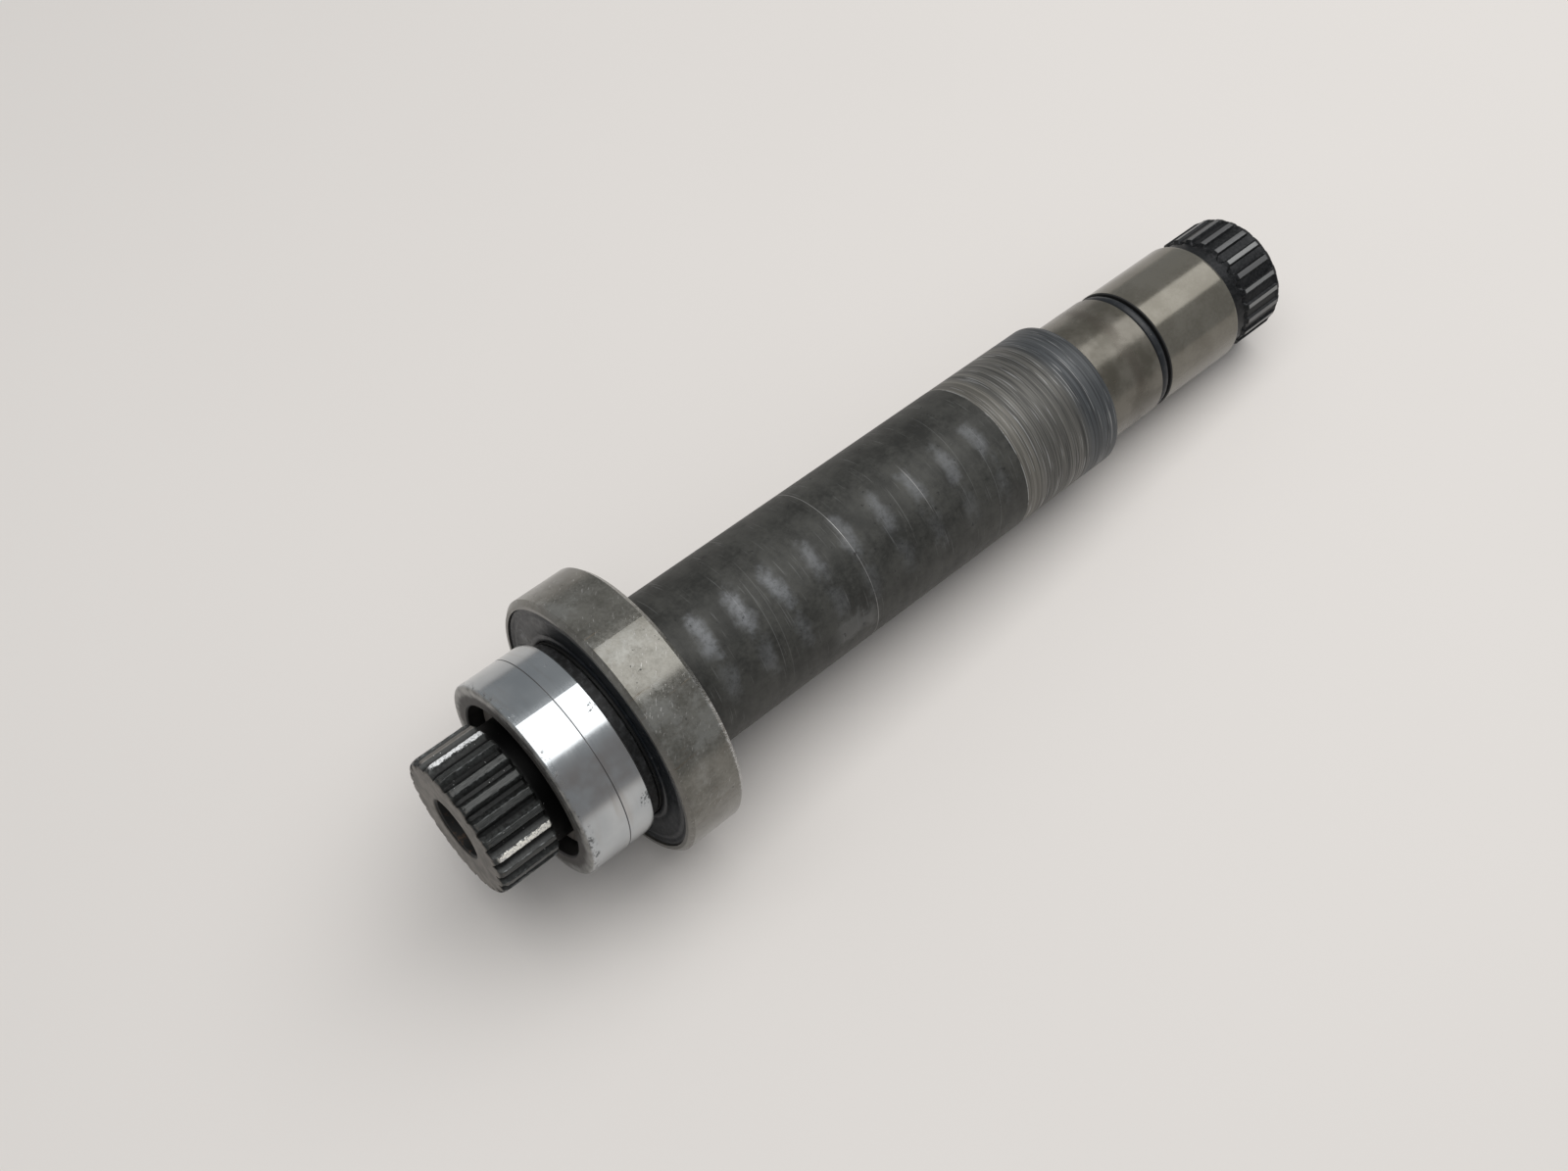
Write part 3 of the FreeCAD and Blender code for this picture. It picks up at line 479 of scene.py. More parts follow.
class Graph:
    """Short way to write a material's nodes. Every place on a surface has a station along X, a radius
    from the axis and a turn in degrees."""

    def __init__(self, name):
        self.material = bpy.data.materials.new(name)
        self.material.use_nodes = True
        self.tree = self.material.node_tree
        self.shader = next(node for node in self.tree.nodes if node.type == "BSDF_PRINCIPLED")
        self.place = self.node("ShaderNodeTexCoord").outputs["Object"]
        parts = self.node("ShaderNodeSeparateXYZ", {0: self.place}).outputs
        self.station = parts[0]
        across = self.times(parts[1], parts[1])
        up = self.times(parts[2], parts[2])
        self.radius = self.math("SQRT", self.plus(across, up))
        safe = self.math("MAXIMUM", self.radius, 0.0005)
        self.sine = self.math("DIVIDE", self.times(parts[1], -1.0), safe)
        self.cosine = self.math("DIVIDE", parts[2], safe)
        self.turn = self.times(self.math("ARCTAN2", self.sine, self.cosine), 180 / math.pi)

    def node(self, kind, inputs=(), **settings):
        """Add a node; inputs gives its sockets' values or links, by number or name."""
        made = self.tree.nodes.new(kind)
        for key, value in settings.items():
            setattr(made, key, value)
        for key, value in dict(inputs).items():
            self.put(made.inputs[key], value)
        return made

    def put(self, socket, value):
        if isinstance(value, bpy.types.NodeSocket):
            self.tree.links.new(value, socket)
        elif value is not None:
            socket.default_value = value

    def math(self, operation, first, second=None, third=None):
        return self.node("ShaderNodeMath", {0: first, 1: second, 2: third}, operation=operation).outputs[0]

    def plus(self, first, *others):
        for other in others:
            first = self.math("ADD", first, other)
        return first

    def times(self, first, *others):
        for other in others:
            first = self.math("MULTIPLY", first, other)
        return first

    def ramp(self, value, from_low, from_high, to_low=0.0, to_high=1.0):
        """Pass smoothly from one number to another while a value passes between two limits."""
        return self.node("ShaderNodeMapRange", {
            0: value, 1: from_low, 2: from_high, 3: to_low, 4: to_high},
            interpolation_type="SMOOTHSTEP").outputs[0]

    def between(self, value, low, high, soft):
        """1 between two values and 0 outside, with soft edges."""
        rise = self.ramp(value, low - soft, low + soft)
        fall = self.ramp(value, high - soft, high + soft, 1.0, 0.0)
        return self.times(rise, fall)

    def mix(self, share, first, second):
        """Mix two colours, which a Mix node has on its sockets 6 and 7."""
        return self.node("ShaderNodeMix", {0: share, 6: first, 7: second}, data_type="RGBA").outputs[2]

    def blend(self, share, first, second):
        """Mix two numbers, which a Mix node has on its sockets 2 and 3."""
        return self.node("ShaderNodeMix", {0: share, 2: first, 3: second}, data_type="FLOAT").outputs[0]

    def noise(self, scale, detail=3.0, rough=0.5, place=None):
        return self.node("ShaderNodeTexNoise", {
            "Vector": place or self.place, "Scale": scale, "Detail": detail,
            "Roughness": rough}).outputs["Fac"]

    def uneven(self, scale, detail, rough, reach):
        """Noise centred on 0, with its spread multiplied by reach."""
        return self.times(self.plus(self.noise(scale, detail, rough), -0.5), reach)

    def rings(self, along, around=3.0, detail=2.0, shift=0.0):
        """Noise drawn out round the shaft: along and around are its scales in each direction."""
        place = self.node("ShaderNodeCombineXYZ", {
            0: self.plus(self.times(self.station, along), shift),
            1: self.times(self.sine, around),
            2: self.times(self.cosine, around)}).outputs[0]
        return self.noise(1.0, detail, 0.6, place)

    def strokes(self, along, around, detail=2.0, lean=0.0):
        """Noise drawn out along the shaft, leaning round it."""
        turned_place = self.plus(self.turn, self.times(self.station, lean))
        place = self.node("ShaderNodeCombineXYZ", {
            0: self.times(self.station, along),
            1: self.times(turned_place, around),
            2: self.times(self.radius, along)}).outputs[0]
        return self.noise(1.0, detail, 0.6, place)

    def spot(self, station, turn, radius, size, ragged=0.5):
        """1 inside a ragged mark at a place on a round wall."""
        angle = math.radians(turn)
        middle = (station, -radius * math.sin(angle), radius * math.cos(angle))
        away = self.node("ShaderNodeVectorMath", {0: self.place, 1: middle},
                         operation="DISTANCE").outputs["Value"]
        edge = self.plus(away, self.uneven(1.6 / size, 3.0, 0.7, ragged * 3 * size))
        return self.ramp(edge, size * 0.75, size * 1.15, 1.0, 0.0)

    def start(self, colour, rough, metal):
        """Lay the first finish; lay() puts others over it where a mask says."""
        self.colour = colour
        self.rough = rough
        self.metal = metal
        self.height = 0.0

    def lay(self, mask, colour=None, rough=None, metal=None):
        """Lay a finish over the last one; what isn't given stays as it was."""
        if colour is not None:
            self.colour = self.mix(mask, self.colour, colour)
        if rough is not None:
            self.rough = self.blend(mask, self.rough, rough)
        if metal is not None:
            self.metal = self.blend(mask, self.metal, metal)

    def raise_by(self, microns, share):
        """Add relief: share is a socket from 0 to 1, microns the height that 1 stands for."""
        self.height = self.plus(self.height, self.times(share, microns))

    def finish(self):
        bump = self.node("ShaderNodeBump", {"Height": self.height, "Strength": 1.0, "Distance": 1e-6})
        self.put(self.shader.inputs["Base Color"], self.colour)
        self.put(self.shader.inputs["Roughness"], self.rough)
        self.put(self.shader.inputs["Metallic"], self.metal)
        self.put(self.shader.inputs["Normal"], bump.outputs[0])
        return self.material


def grey(value, warm=0.0):
    """Linear grey, leaning to yellow-brown where warm is above 0 and to blue below it."""
    return (value * (1 + warm), value, value * (1 - warm), 1)


# ---------------------------------------------------------------- shaft material

def shaft_material():
    graph = Graph("worn_shaft_steel")
    graph.start(grey(0.24, 0.08), 0.34, 0.4)
    lay_barrel(graph)
    lay_ground_band(graph)
    lay_journals(graph)
    lay_front_end(graph)
    lay_rear_end(graph)
    graph.raise_by(0.8, graph.rings(6000, 2.0))
    return graph.finish()


PATCH_PITCH = 9.85 * MM
FIRST_PATCH = BEARING_REAR + 10.2 * MM

# Rows of rubbed patches along the barrel, the first two placed where the lamps' reflections fall, so partly
# a painted sheen: the first and last degree of turn, and how strong.
RUB_AND_SHEEN_ROWS = [
    (3, 30, 0.8), (41, 61, 0.4), (118, 142, 0.4), (172, 180, 0.5), (-180, -160, 0.5), (-120, -98, 0.35),
]

# Scratches that lean round the barrel: how far behind the bearing in mm, the first and last degree of
# turn, and how strong.
LEANING_SCRATCHES = [
    (24.3, 2, 66, 0.2), (26.2, -14, 78, 0.14), (20.6, 0, 24, 0.18),
    (64.0, 8, 40, 0.2), (82.5, -30, 45, 0.15), (88.2, 20, 96, 0.2),
]


def lay_barrel(graph):
    """Dull dark steel, with rows of paler rubbed patches 10 mm apart, partly a painted sheen where the lamps
    reflect, and a few turned scratches.
    """
    here = graph.between(graph.station, SPLIT, BAND_FRONT, 0.05 * MM)
    blots = graph.noise(110, 5.0, 0.65)
    fine = graph.noise(1100, 4.0, 0.75)
    streaks = graph.rings(420, 2.2, 3.0)
    tone = graph.plus(graph.times(blots, 0.5), graph.times(fine, 0.3), graph.times(streaks, 0.2))
    dark = graph.mix(graph.ramp(tone, 0.38, 0.62), (0.019, 0.019, 0.0165, 1), (0.056, 0.0555, 0.050, 1))
    graph.lay(here, dark, graph.ramp(fine, 0.3, 0.7, 0.5, 0.64), 0.3)
    shifted = graph.plus(graph.station, graph.uneven(240, 3.0, 0.6, 5.0 * MM), -FIRST_PATCH)
    step = graph.math("FRACT", graph.math("DIVIDE", shifted, PATCH_PITCH))
    column = graph.ramp(graph.math("ABSOLUTE", graph.plus(step, -0.5)), 0.22, 0.47)
    place = graph.plus(graph.turn, graph.uneven(310, 3.0, 0.6, 34))
    rows = 0.0
    # Paler, less rough patches: rubbed steel, and in the rows facing the lamps' reflections a painted sheen.
    for low, high, strength in RUB_AND_SHEEN_ROWS:
        rows = graph.plus(rows, graph.times(graph.between(place, low, high, 7), strength))
    fading = graph.ramp(graph.station, FIRST_PATCH + 10 * MM, FIRST_PATCH + 36 * MM, 1.0, 0.62)
    patch = graph.times(column, rows, fading, here, graph.ramp(fine, 0.25, 0.6, 0.45, 1.0))
    graph.lay(patch, (0.155, 0.16, 0.17, 1), 0.42)
    scratch = graph.between(graph.station, BEARING_REAR + 48.7 * MM, BEARING_REAR + 48.8 * MM, 0.07 * MM)
    worn = graph.ramp(graph.noise(160, 2.0), 0.3, 0.6, 0.4, 1.0)
    graph.lay(graph.times(scratch, worn), grey(0.36, 0.02), 0.3, 0.8)
    graph.raise_by(-6, scratch)
    arc = graph.between(graph.station, BEARING_REAR + 69.8 * MM, BEARING_REAR + 69.95 * MM, 0.07 * MM)
    arc = graph.times(arc, graph.between(graph.turn, 0, 34, 8))
    graph.lay(graph.times(arc, 0.55), grey(0.3, 0.02), 0.3, 0.8)
    leaning = graph.plus(graph.station, graph.times(graph.turn, 0.022 * MM))
    for line, low, high, strength in LEANING_SCRATCHES:
        middle = BEARING_REAR + line * MM
        mark = graph.between(leaning, middle, middle + 0.16 * MM, 0.1 * MM)
        mark = graph.times(mark, graph.between(graph.turn, low, high, 6), strength)
        graph.lay(mark, grey(0.3), 0.35, 0.6)
    smear = graph.times(graph.between(place, 66, 84, 5),
                        graph.between(graph.station, FIRST_PATCH + 27 * MM, FIRST_PATCH + 38 * MM, 2 * MM))
    graph.lay(graph.times(smear, 0.4), (0.15, 0.152, 0.15, 1), 0.45)
    faint = graph.times(graph.ramp(graph.rings(2600, 2.0, 1.0, 7.0), 0.66, 0.76), here)
    graph.lay(graph.times(faint, 0.25), grey(0.2), 0.4)
    nicks = graph.times(graph.ramp(graph.strokes(500, 1.6, 2.0, 900), 0.74, 0.8), here)
    graph.lay(graph.times(nicks, 0.35), grey(0.25), 0.35)
    pits = graph.times(graph.ramp(graph.noise(700, 3.0, 0.6), 0.66, 0.73), here)
    graph.lay(graph.times(pits, 0.7), grey(0.012), 0.7)


def lay_ground_band(graph):
    """Ground seat at the barrel's rear end: a pale ring, fine turned lines, then a bluish stretch."""
    end = BARREL_REAR + BARREL_CHAMFER
    here = graph.between(graph.station, BAND_FRONT, end, 0.05 * MM)
    lines = graph.ramp(graph.rings(2300, 0.7, 3.0, 3.0), 0.36, 0.64)
    wide = graph.ramp(graph.rings(640, 0.5, 2.0, 11.0), 0.3, 0.7)
    streaks = graph.mix(graph.plus(graph.times(lines, 0.55), graph.times(wide, 0.45)),
                        (0.022, 0.022, 0.021, 1), (0.145, 0.139, 0.126, 1))
    graph.lay(here, streaks, graph.ramp(lines, 0.0, 1.0, 0.58, 0.46), 0.25)
    blue = graph.ramp(graph.station, BAND_FRONT + 18.6 * MM, BAND_FRONT + 22.4 * MM)
    blue_tone = graph.mix(lines, (0.024, 0.027, 0.031, 1), (0.060, 0.067, 0.075, 1))
    graph.lay(graph.times(blue, here, 0.85), blue_tone, 0.5)
    pale = graph.ramp(graph.station, BAND_FRONT + 3.8 * MM, BAND_FRONT + 5.2 * MM, 1.0, 0.0)
    pale_tone = graph.mix(lines, (0.095, 0.089, 0.077, 1), (0.178, 0.168, 0.147, 1))
    graph.lay(graph.times(pale, here, 0.8), pale_tone, 0.56)
    bright = graph.ramp(graph.rings(3100, 1.6, 1.0, 23.0), 0.62, 0.7)
    graph.lay(graph.times(bright, here, 0.6), grey(0.34), 0.34, 0.6)
    lip = graph.between(graph.station, BAND_FRONT - 0.1 * MM, BAND_FRONT + 0.12 * MM, 0.1 * MM)
    lip = graph.times(lip, graph.ramp(graph.noise(260, 3.0, 0.6), 0.42, 0.58))
    graph.lay(graph.times(lip, 0.7), grey(0.42), 0.3, 0.7)
    edge = graph.between(graph.station, end - 0.02 * MM, end + 0.5 * MM, 0.1 * MM)
    graph.lay(edge, grey(0.02), 0.5)


def lay_journals(graph):
    """Warm worn steel, a dark stain ring before the O-ring groove, rust specks, and the groove painted
    near-black as shade.
    """
    here = graph.ramp(graph.station, FRONT_JOURNAL[0], FRONT_JOURNAL[0] + 0.2 * MM)
    cloud = graph.noise(110, 4.0, 0.6)
    fine = graph.noise(1400, 3.0, 0.7)
    warm = graph.mix(graph.ramp(graph.plus(graph.times(cloud, 0.7), graph.times(fine, 0.3)), 0.36, 0.62),
                     (0.142, 0.131, 0.108, 1), (0.182, 0.17, 0.144, 1))
    graph.lay(here, warm, graph.ramp(fine, 0.3, 0.7, 0.13, 0.18), 0.55)
    dull = graph.ramp(graph.station, FRONT_JOURNAL[1], FRONT_JOURNAL[1] + 2 * MM, 1.0, 0.0)
    dull_tone = graph.mix(graph.ramp(cloud, 0.36, 0.62), (0.088, 0.08, 0.063, 1), (0.15, 0.138, 0.116, 1))
    graph.lay(graph.times(dull, here), dull_tone, graph.ramp(fine, 0.3, 0.7, 0.2, 0.27), 0.45)
    stain = graph.between(graph.station, FRONT_JOURNAL[0] + 9.4 * MM, FRONT_JOURNAL[0] + 12.6 * MM, 1.2 * MM)
    stain = graph.times(stain, graph.ramp(graph.noise(170, 4.0, 0.6), 0.3, 0.6))
    graph.lay(graph.times(stain, 0.6), (0.075, 0.064, 0.05, 1), 0.36)
    rust = graph.ramp(graph.noise(520, 5.0, 0.7), 0.63, 0.74)
    ahead = graph.ramp(graph.station, FRONT_JOURNAL[1], REAR_JOURNAL[0], 1.0, 0.35)
    graph.lay(graph.times(rust, ahead, here, 0.6), (0.085, 0.062, 0.042, 1), 0.5)
    # The O-ring groove's walls and floor are painted near-black as shade.
    groove = graph.between(graph.station, FRONT_JOURNAL[1], REAR_JOURNAL[0], 0.08 * MM)
    graph.lay(groove, grey(0.02), 0.5, 0.2)


# Teeth of the front spline, by number: the one rubbed brown, and those worn bare with their colours; the two
# near-white ones are bare metal with a painted glint.
BROWN_TOOTH = -3.0
BARE_AND_GLINTING_TEETH = [
    (-2.0, (0.93, 0.94, 0.95, 1)), (4.0, (0.93, 0.9, 0.82, 1)),
    (10.0, (0.6, 0.6, 0.58, 1)), (-8.0, (0.55, 0.55, 0.55, 1)),
]


def tooth_places(graph, spline):
    """Number of the tooth at a place, and how far the place is from that tooth's middle, in pitches."""
    pitch = math.degrees(2 * spline.half_pitch)
    along = graph.math("DIVIDE", graph.plus(graph.turn, -math.degrees(spline.turn)), pitch)
    away = graph.math("ABSOLUTE", graph.plus(graph.math("FRACT", along), -0.5))
    return graph.math("FLOOR", along), away


def lay_front_end(graph):
    """Oily black spline with a few bare crowns, two of them near white as a painted glint, crown edges
    lighter as wear and a painted highlight, a worn brown end face and a neck painted black as shade.
    """
    spline = FRONT_SPLINE
    here = graph.ramp(graph.station, SEAT_FRONT - 0.2 * MM, SEAT_FRONT, 1.0, 0.0)
    fine = graph.noise(1300, 4.0, 0.7)
    oil = graph.mix(graph.ramp(fine, 0.35, 0.7), (0.012, 0.0125, 0.012, 1), (0.042, 0.045, 0.044, 1))
    graph.lay(here, oil, graph.ramp(fine, 0.3, 0.7, 0.3, 0.5), 0.3)
    deep = graph.ramp(graph.radius, spline.crown - 1.3 * MM, spline.crown - 0.55 * MM, 1.0, 0.0)
    graph.lay(graph.times(deep, here, 0.75), grey(0.006), 0.5, 0.8)
    # The neck behind the teeth, seen through the collar's mouth, is painted black as shade.
    throat = graph.times(graph.ramp(graph.station, FRONT_TAIL - 0.4 * MM, FRONT_TAIL + 0.9 * MM), here)
    graph.lay(throat, grey(0.006), 0.5, 0.95)
    number, away = tooth_places(graph, spline)
    ragged = graph.plus(away, graph.uneven(1300, 4.0, 0.75, 0.2))
    on_top = graph.ramp(graph.radius, spline.crown - 0.35 * MM, spline.crown - 0.12 * MM)
    teeth = graph.ramp(graph.station, FRONT_TAIL - 0.5 * MM, FRONT_TAIL - 0.1 * MM, 1.0, 0.0)
    tops = graph.times(on_top, teeth, here)
    varied = graph.node("ShaderNodeTexWhiteNoise", {"W": number}, noise_dimensions="1D").outputs["Value"]
    drawn = graph.ramp(graph.strokes(420, 3.2, 3.0), 0.4, 0.62)
    land = graph.mix(drawn, (0.024, 0.025, 0.024, 1), (0.066, 0.068, 0.066, 1))
    crown = graph.times(graph.ramp(ragged, 0.13, 0.17, 1.0, 0.0), tops)
    crown = graph.times(crown, graph.ramp(varied, 0.0, 1.0, 0.5, 1.0))
    graph.lay(crown, land, graph.ramp(fine, 0.3, 0.7, 0.26, 0.42))
    # Lighter lines along the crowns' edges: partly edge wear, partly a painted highlight standing in for the
    # glint of the rounded corners.
    rim_wear_and_highlight = graph.times(graph.between(away, 0.155, 0.2, 0.015), tops)
    broken = graph.ramp(graph.noise(700, 4.0, 0.7), 0.45, 0.6)
    graph.lay(graph.times(rim_wear_and_highlight, broken, 0.7), (0.2, 0.21, 0.215, 1), 0.28)
    brown = graph.times(graph.ramp(away, 0.19, 0.23, 1.0, 0.0), tops)
    brown = graph.times(brown, graph.math("COMPARE", number, BROWN_TOOTH, 0.5), 0.85)
    graph.lay(brown, (0.15, 0.138, 0.124, 1), 0.5)
    torn = graph.plus(away, graph.uneven(950, 5.0, 0.8, 0.62))
    past_tips = graph.ramp(graph.station, FRONT_FACE + 0.7 * MM, FRONT_FACE + 1.6 * MM)
    stripe = graph.times(graph.ramp(torn, 0.15, 0.18, 1.0, 0.0), past_tips, tops)
    frosted = graph.ramp(graph.noise(2300, 4.0, 0.8), 0.38, 0.54)
    # Bare crown strips; on teeth -2 and 4 the near-white colour is a painted glint over bare metal.
    for tooth, colour in BARE_AND_GLINTING_TEETH:
        bare = graph.times(stripe, graph.math("COMPARE", number, tooth, 0.5))
        graph.lay(bare, graph.mix(frosted, grey(0.4), colour), 0.4, 0.1)
    specks = graph.times(graph.ramp(graph.noise(1900, 2.0), 0.74, 0.78), here)
    graph.lay(specks, grey(0.5), 0.3)
    tips = graph.ramp(graph.station, FRONT_FACE + 0.5 * MM, FRONT_FACE + 1.5 * MM, 1.0, 0.0)
    graph.lay(graph.times(tips, on_top, broken), (0.07, 0.064, 0.056, 1), 0.5)
    face = graph.ramp(graph.station, FRONT_FACE + 0.02 * MM, FRONT_FACE + 0.3 * MM, 1.0, 0.0)
    cloud = graph.ramp(graph.noise(330, 5.0, 0.65), 0.3, 0.65)
    graph.lay(face, graph.mix(cloud, (0.07, 0.064, 0.056, 1), (0.17, 0.155, 0.138, 1)), 0.5, 0.35)
    inside = graph.ramp(graph.radius, BORE_RADIUS + 0.1 * MM, BORE_RADIUS + 0.35 * MM, 1.0, 0.0)
    inside = graph.times(inside, here)
    grime = graph.ramp(graph.noise(600, 4.0, 0.7), 0.5, 0.68)
    graph.lay(inside, graph.mix(grime, grey(0.012), (0.075, 0.045, 0.028, 1)), 0.6, 0.1)


def lay_rear_end(graph):
    """Black-oxide neck and spline, the crowns worn grey, and a turned end face."""
    spline = REAR_SPLINE
    here = graph.ramp(graph.station, JOURNAL_END - 0.1 * MM, JOURNAL_END)
    fine = graph.noise(1500, 3.0, 0.7)
    black = graph.mix(graph.ramp(fine, 0.35, 0.7), (0.010, 0.011, 0.012, 1), (0.03, 0.03, 0.032, 1))
    graph.lay(here, black, graph.ramp(fine, 0.3, 0.7, 0.34, 0.5), 0.75)
    number, away = tooth_places(graph, spline)
    on_top = graph.ramp(graph.radius, spline.crown - 0.4 * MM, spline.crown - 0.15 * MM)
    varied = graph.node("ShaderNodeTexWhiteNoise", {"W": number}, noise_dimensions="1D").outputs["Value"]
    narrowed = graph.plus(away, graph.uneven(1100, 3.0, 0.7, 0.05), graph.times(varied, 0.045))
    past_head = graph.ramp(graph.station, REAR_HEAD + 0.7 * MM, REAR_HEAD + 0.95 * MM)
    before_face = graph.ramp(graph.station, REAR_FACE - 1.9 * MM, REAR_FACE - 1.3 * MM, 1.0, 0.0)
    worn = graph.times(graph.ramp(narrowed, 0.14, 0.175, 1.0, 0.0), on_top, past_head, before_face)
    tone = graph.mix(graph.ramp(varied, 0.1, 0.9), (0.14, 0.14, 0.142, 1), (0.25, 0.252, 0.25, 1))
    graph.lay(graph.times(worn, 0.9), tone, 0.36, 0.4)
    face = graph.ramp(graph.station, REAR_FACE - 0.1 * MM, REAR_FACE - 0.02 * MM)
    turned_lines = graph.node("ShaderNodeTexNoise", {
        "Vector": graph.node("ShaderNodeCombineXYZ", {0: graph.times(graph.radius, 5000)}).outputs[0],
        "Scale": 1.0, "Detail": 2.0}).outputs["Fac"]
    cloud = graph.noise(260, 4.0, 0.6)
    lit = graph.plus(graph.times(turned_lines, 0.5), graph.times(cloud, 0.5))
    face_tone = graph.mix(graph.ramp(lit, 0.35, 0.65), (0.08, 0.072, 0.064, 1), (0.17, 0.158, 0.142, 1))
    graph.lay(face, face_tone, 0.42, 0.4)
    hole = graph.times(graph.ramp(graph.radius, 3.9 * MM, 4.0 * MM, 1.0, 0.0), here)
    graph.lay(hole, (0.045, 0.04, 0.034, 1), 0.45)


# ---------------------------------------------------------------- other materials

# Dinged places on the seal land: station in mm, turn in degrees, and size in mm.
DINGS = [
    (-11.4, 14, 1.0), (-12.3, -20, 0.6), (-11.0, 70, 1.7), (-24.2, 84, 0.9),
    (-25.4, 74, 1.2), (-14.5, 150, 1.2), (-20.0, -120, 0.9), (-11.5, 195, 1.4),
]


def collar_material():
    """Polished seal land with a fine wear line, dings, a scuffed front face, a brownish painted reflection
    band, and a counterbore and reduced end painted near-black as shade.
    """
    graph = Graph("polished_collar_steel")
    lines = graph.rings(5200, 2.0)
    cloud = graph.noise(90, 3.0)
    graph.start(graph.mix(graph.ramp(cloud, 0.3, 0.7), (0.45, 0.475, 0.495, 1), (0.55, 0.57, 0.585, 1)),
                graph.ramp(lines, 0.3, 0.7, 0.13, 0.2), 1.0)
    stained = graph.ramp(graph.rings(300, 1.0, 2.0, 5.0), 0.55, 0.75)
    graph.lay(graph.times(stained, 0.35), (0.36, 0.32, 0.28, 1), 0.24)
    # A brownish band at turns 30 to 56 degrees: a painted reflection of the surroundings on the polished
    # land.
    painted_reflection_band = graph.between(graph.turn, 30, 56, 7)
    graph.lay(graph.times(painted_reflection_band, graph.ramp(graph.rings(120, 2.5, 3.0, 2.0), 0.3, 0.6, 0.3, 0.9)),
              (0.36, 0.335, 0.325, 1), 0.22)
    wear = COLLAR_FRONT + 9.5 * MM
    line = graph.between(graph.station, wear - 0.12 * MM, wear + 0.12 * MM, 0.08 * MM)
    graph.lay(graph.times(line, 0.95), (0.035, 0.033, 0.034, 1), 0.55, 0.6)
    graph.raise_by(-4, line)
    broken = graph.ramp(graph.noise(1150, 3.0, 0.7), 0.5, 0.58)
    for station, turn, size in DINGS:
        ding = graph.times(graph.spot(station * MM, turn, COLLAR_RADIUS, size * MM, 0.8), broken)
        graph.lay(graph.times(ding, 0.75), (0.08, 0.085, 0.085, 1), 0.5, 0.5)
        graph.raise_by(-25, ding)
    edge = graph.ramp(graph.station, COLLAR_FRONT + 0.9 * MM, COLLAR_FRONT + 2.3 * MM, 1.0, 0.0)
    specks = graph.times(edge, graph.ramp(graph.noise(750, 4.0, 0.75), 0.52, 0.64))
    graph.lay(graph.times(specks, 0.8), (0.05, 0.047, 0.045, 1), 0.6, 0.4)
    face = graph.ramp(graph.station, COLLAR_FRONT + 0.1 * MM, COLLAR_FRONT + 0.75 * MM, 1.0, 0.0)
    graph.lay(face, graph.mix(graph.ramp(graph.noise(420, 4.0, 0.6), 0.35, 0.65),
                              (0.15, 0.147, 0.14, 1), (0.29, 0.287, 0.275, 1)), 0.34, 0.7)
    grime_edge = graph.plus(graph.radius, graph.uneven(260, 4.0, 0.7, 3.0 * MM))
    grime = graph.times(graph.ramp(grime_edge, 20.2 * MM, 21.7 * MM, 1.0, 0.0),
                        graph.ramp(graph.station, COLLAR_FRONT + 8 * MM, COLLAR_FRONT + 9 * MM, 1.0, 0.0))
    graph.lay(graph.times(grime, 0.9), (0.035, 0.03, 0.027, 1), 0.6, 0.2)
    # The inside of the collar's counterbore is painted near-black as shade, greyer in patches.
    recess = graph.ramp(graph.radius, 18.55 * MM, 18.8 * MM, 1.0, 0.0)
    graph.lay(recess, graph.mix(grime, (0.075, 0.078, 0.07, 1), grey(0.012)), 0.5, 0.3)
    # The reduced end behind the seal land, seen in the gap at the seal, is painted near-black as shade, with
    # lighter dusty specks.
    rear = graph.ramp(graph.station, SEAL_LAND_END + 0.05 * MM, SEAL_LAND_END + 0.4 * MM)
    rear_dust = graph.ramp(graph.noise(900, 4.0, 0.7), 0.4, 0.75)
    graph.lay(rear, graph.mix(rear_dust, grey(0.012), (0.06, 0.062, 0.065, 1)), 0.45, 0.15)
    graph.raise_by(0.8, lines)
    return graph.finish()


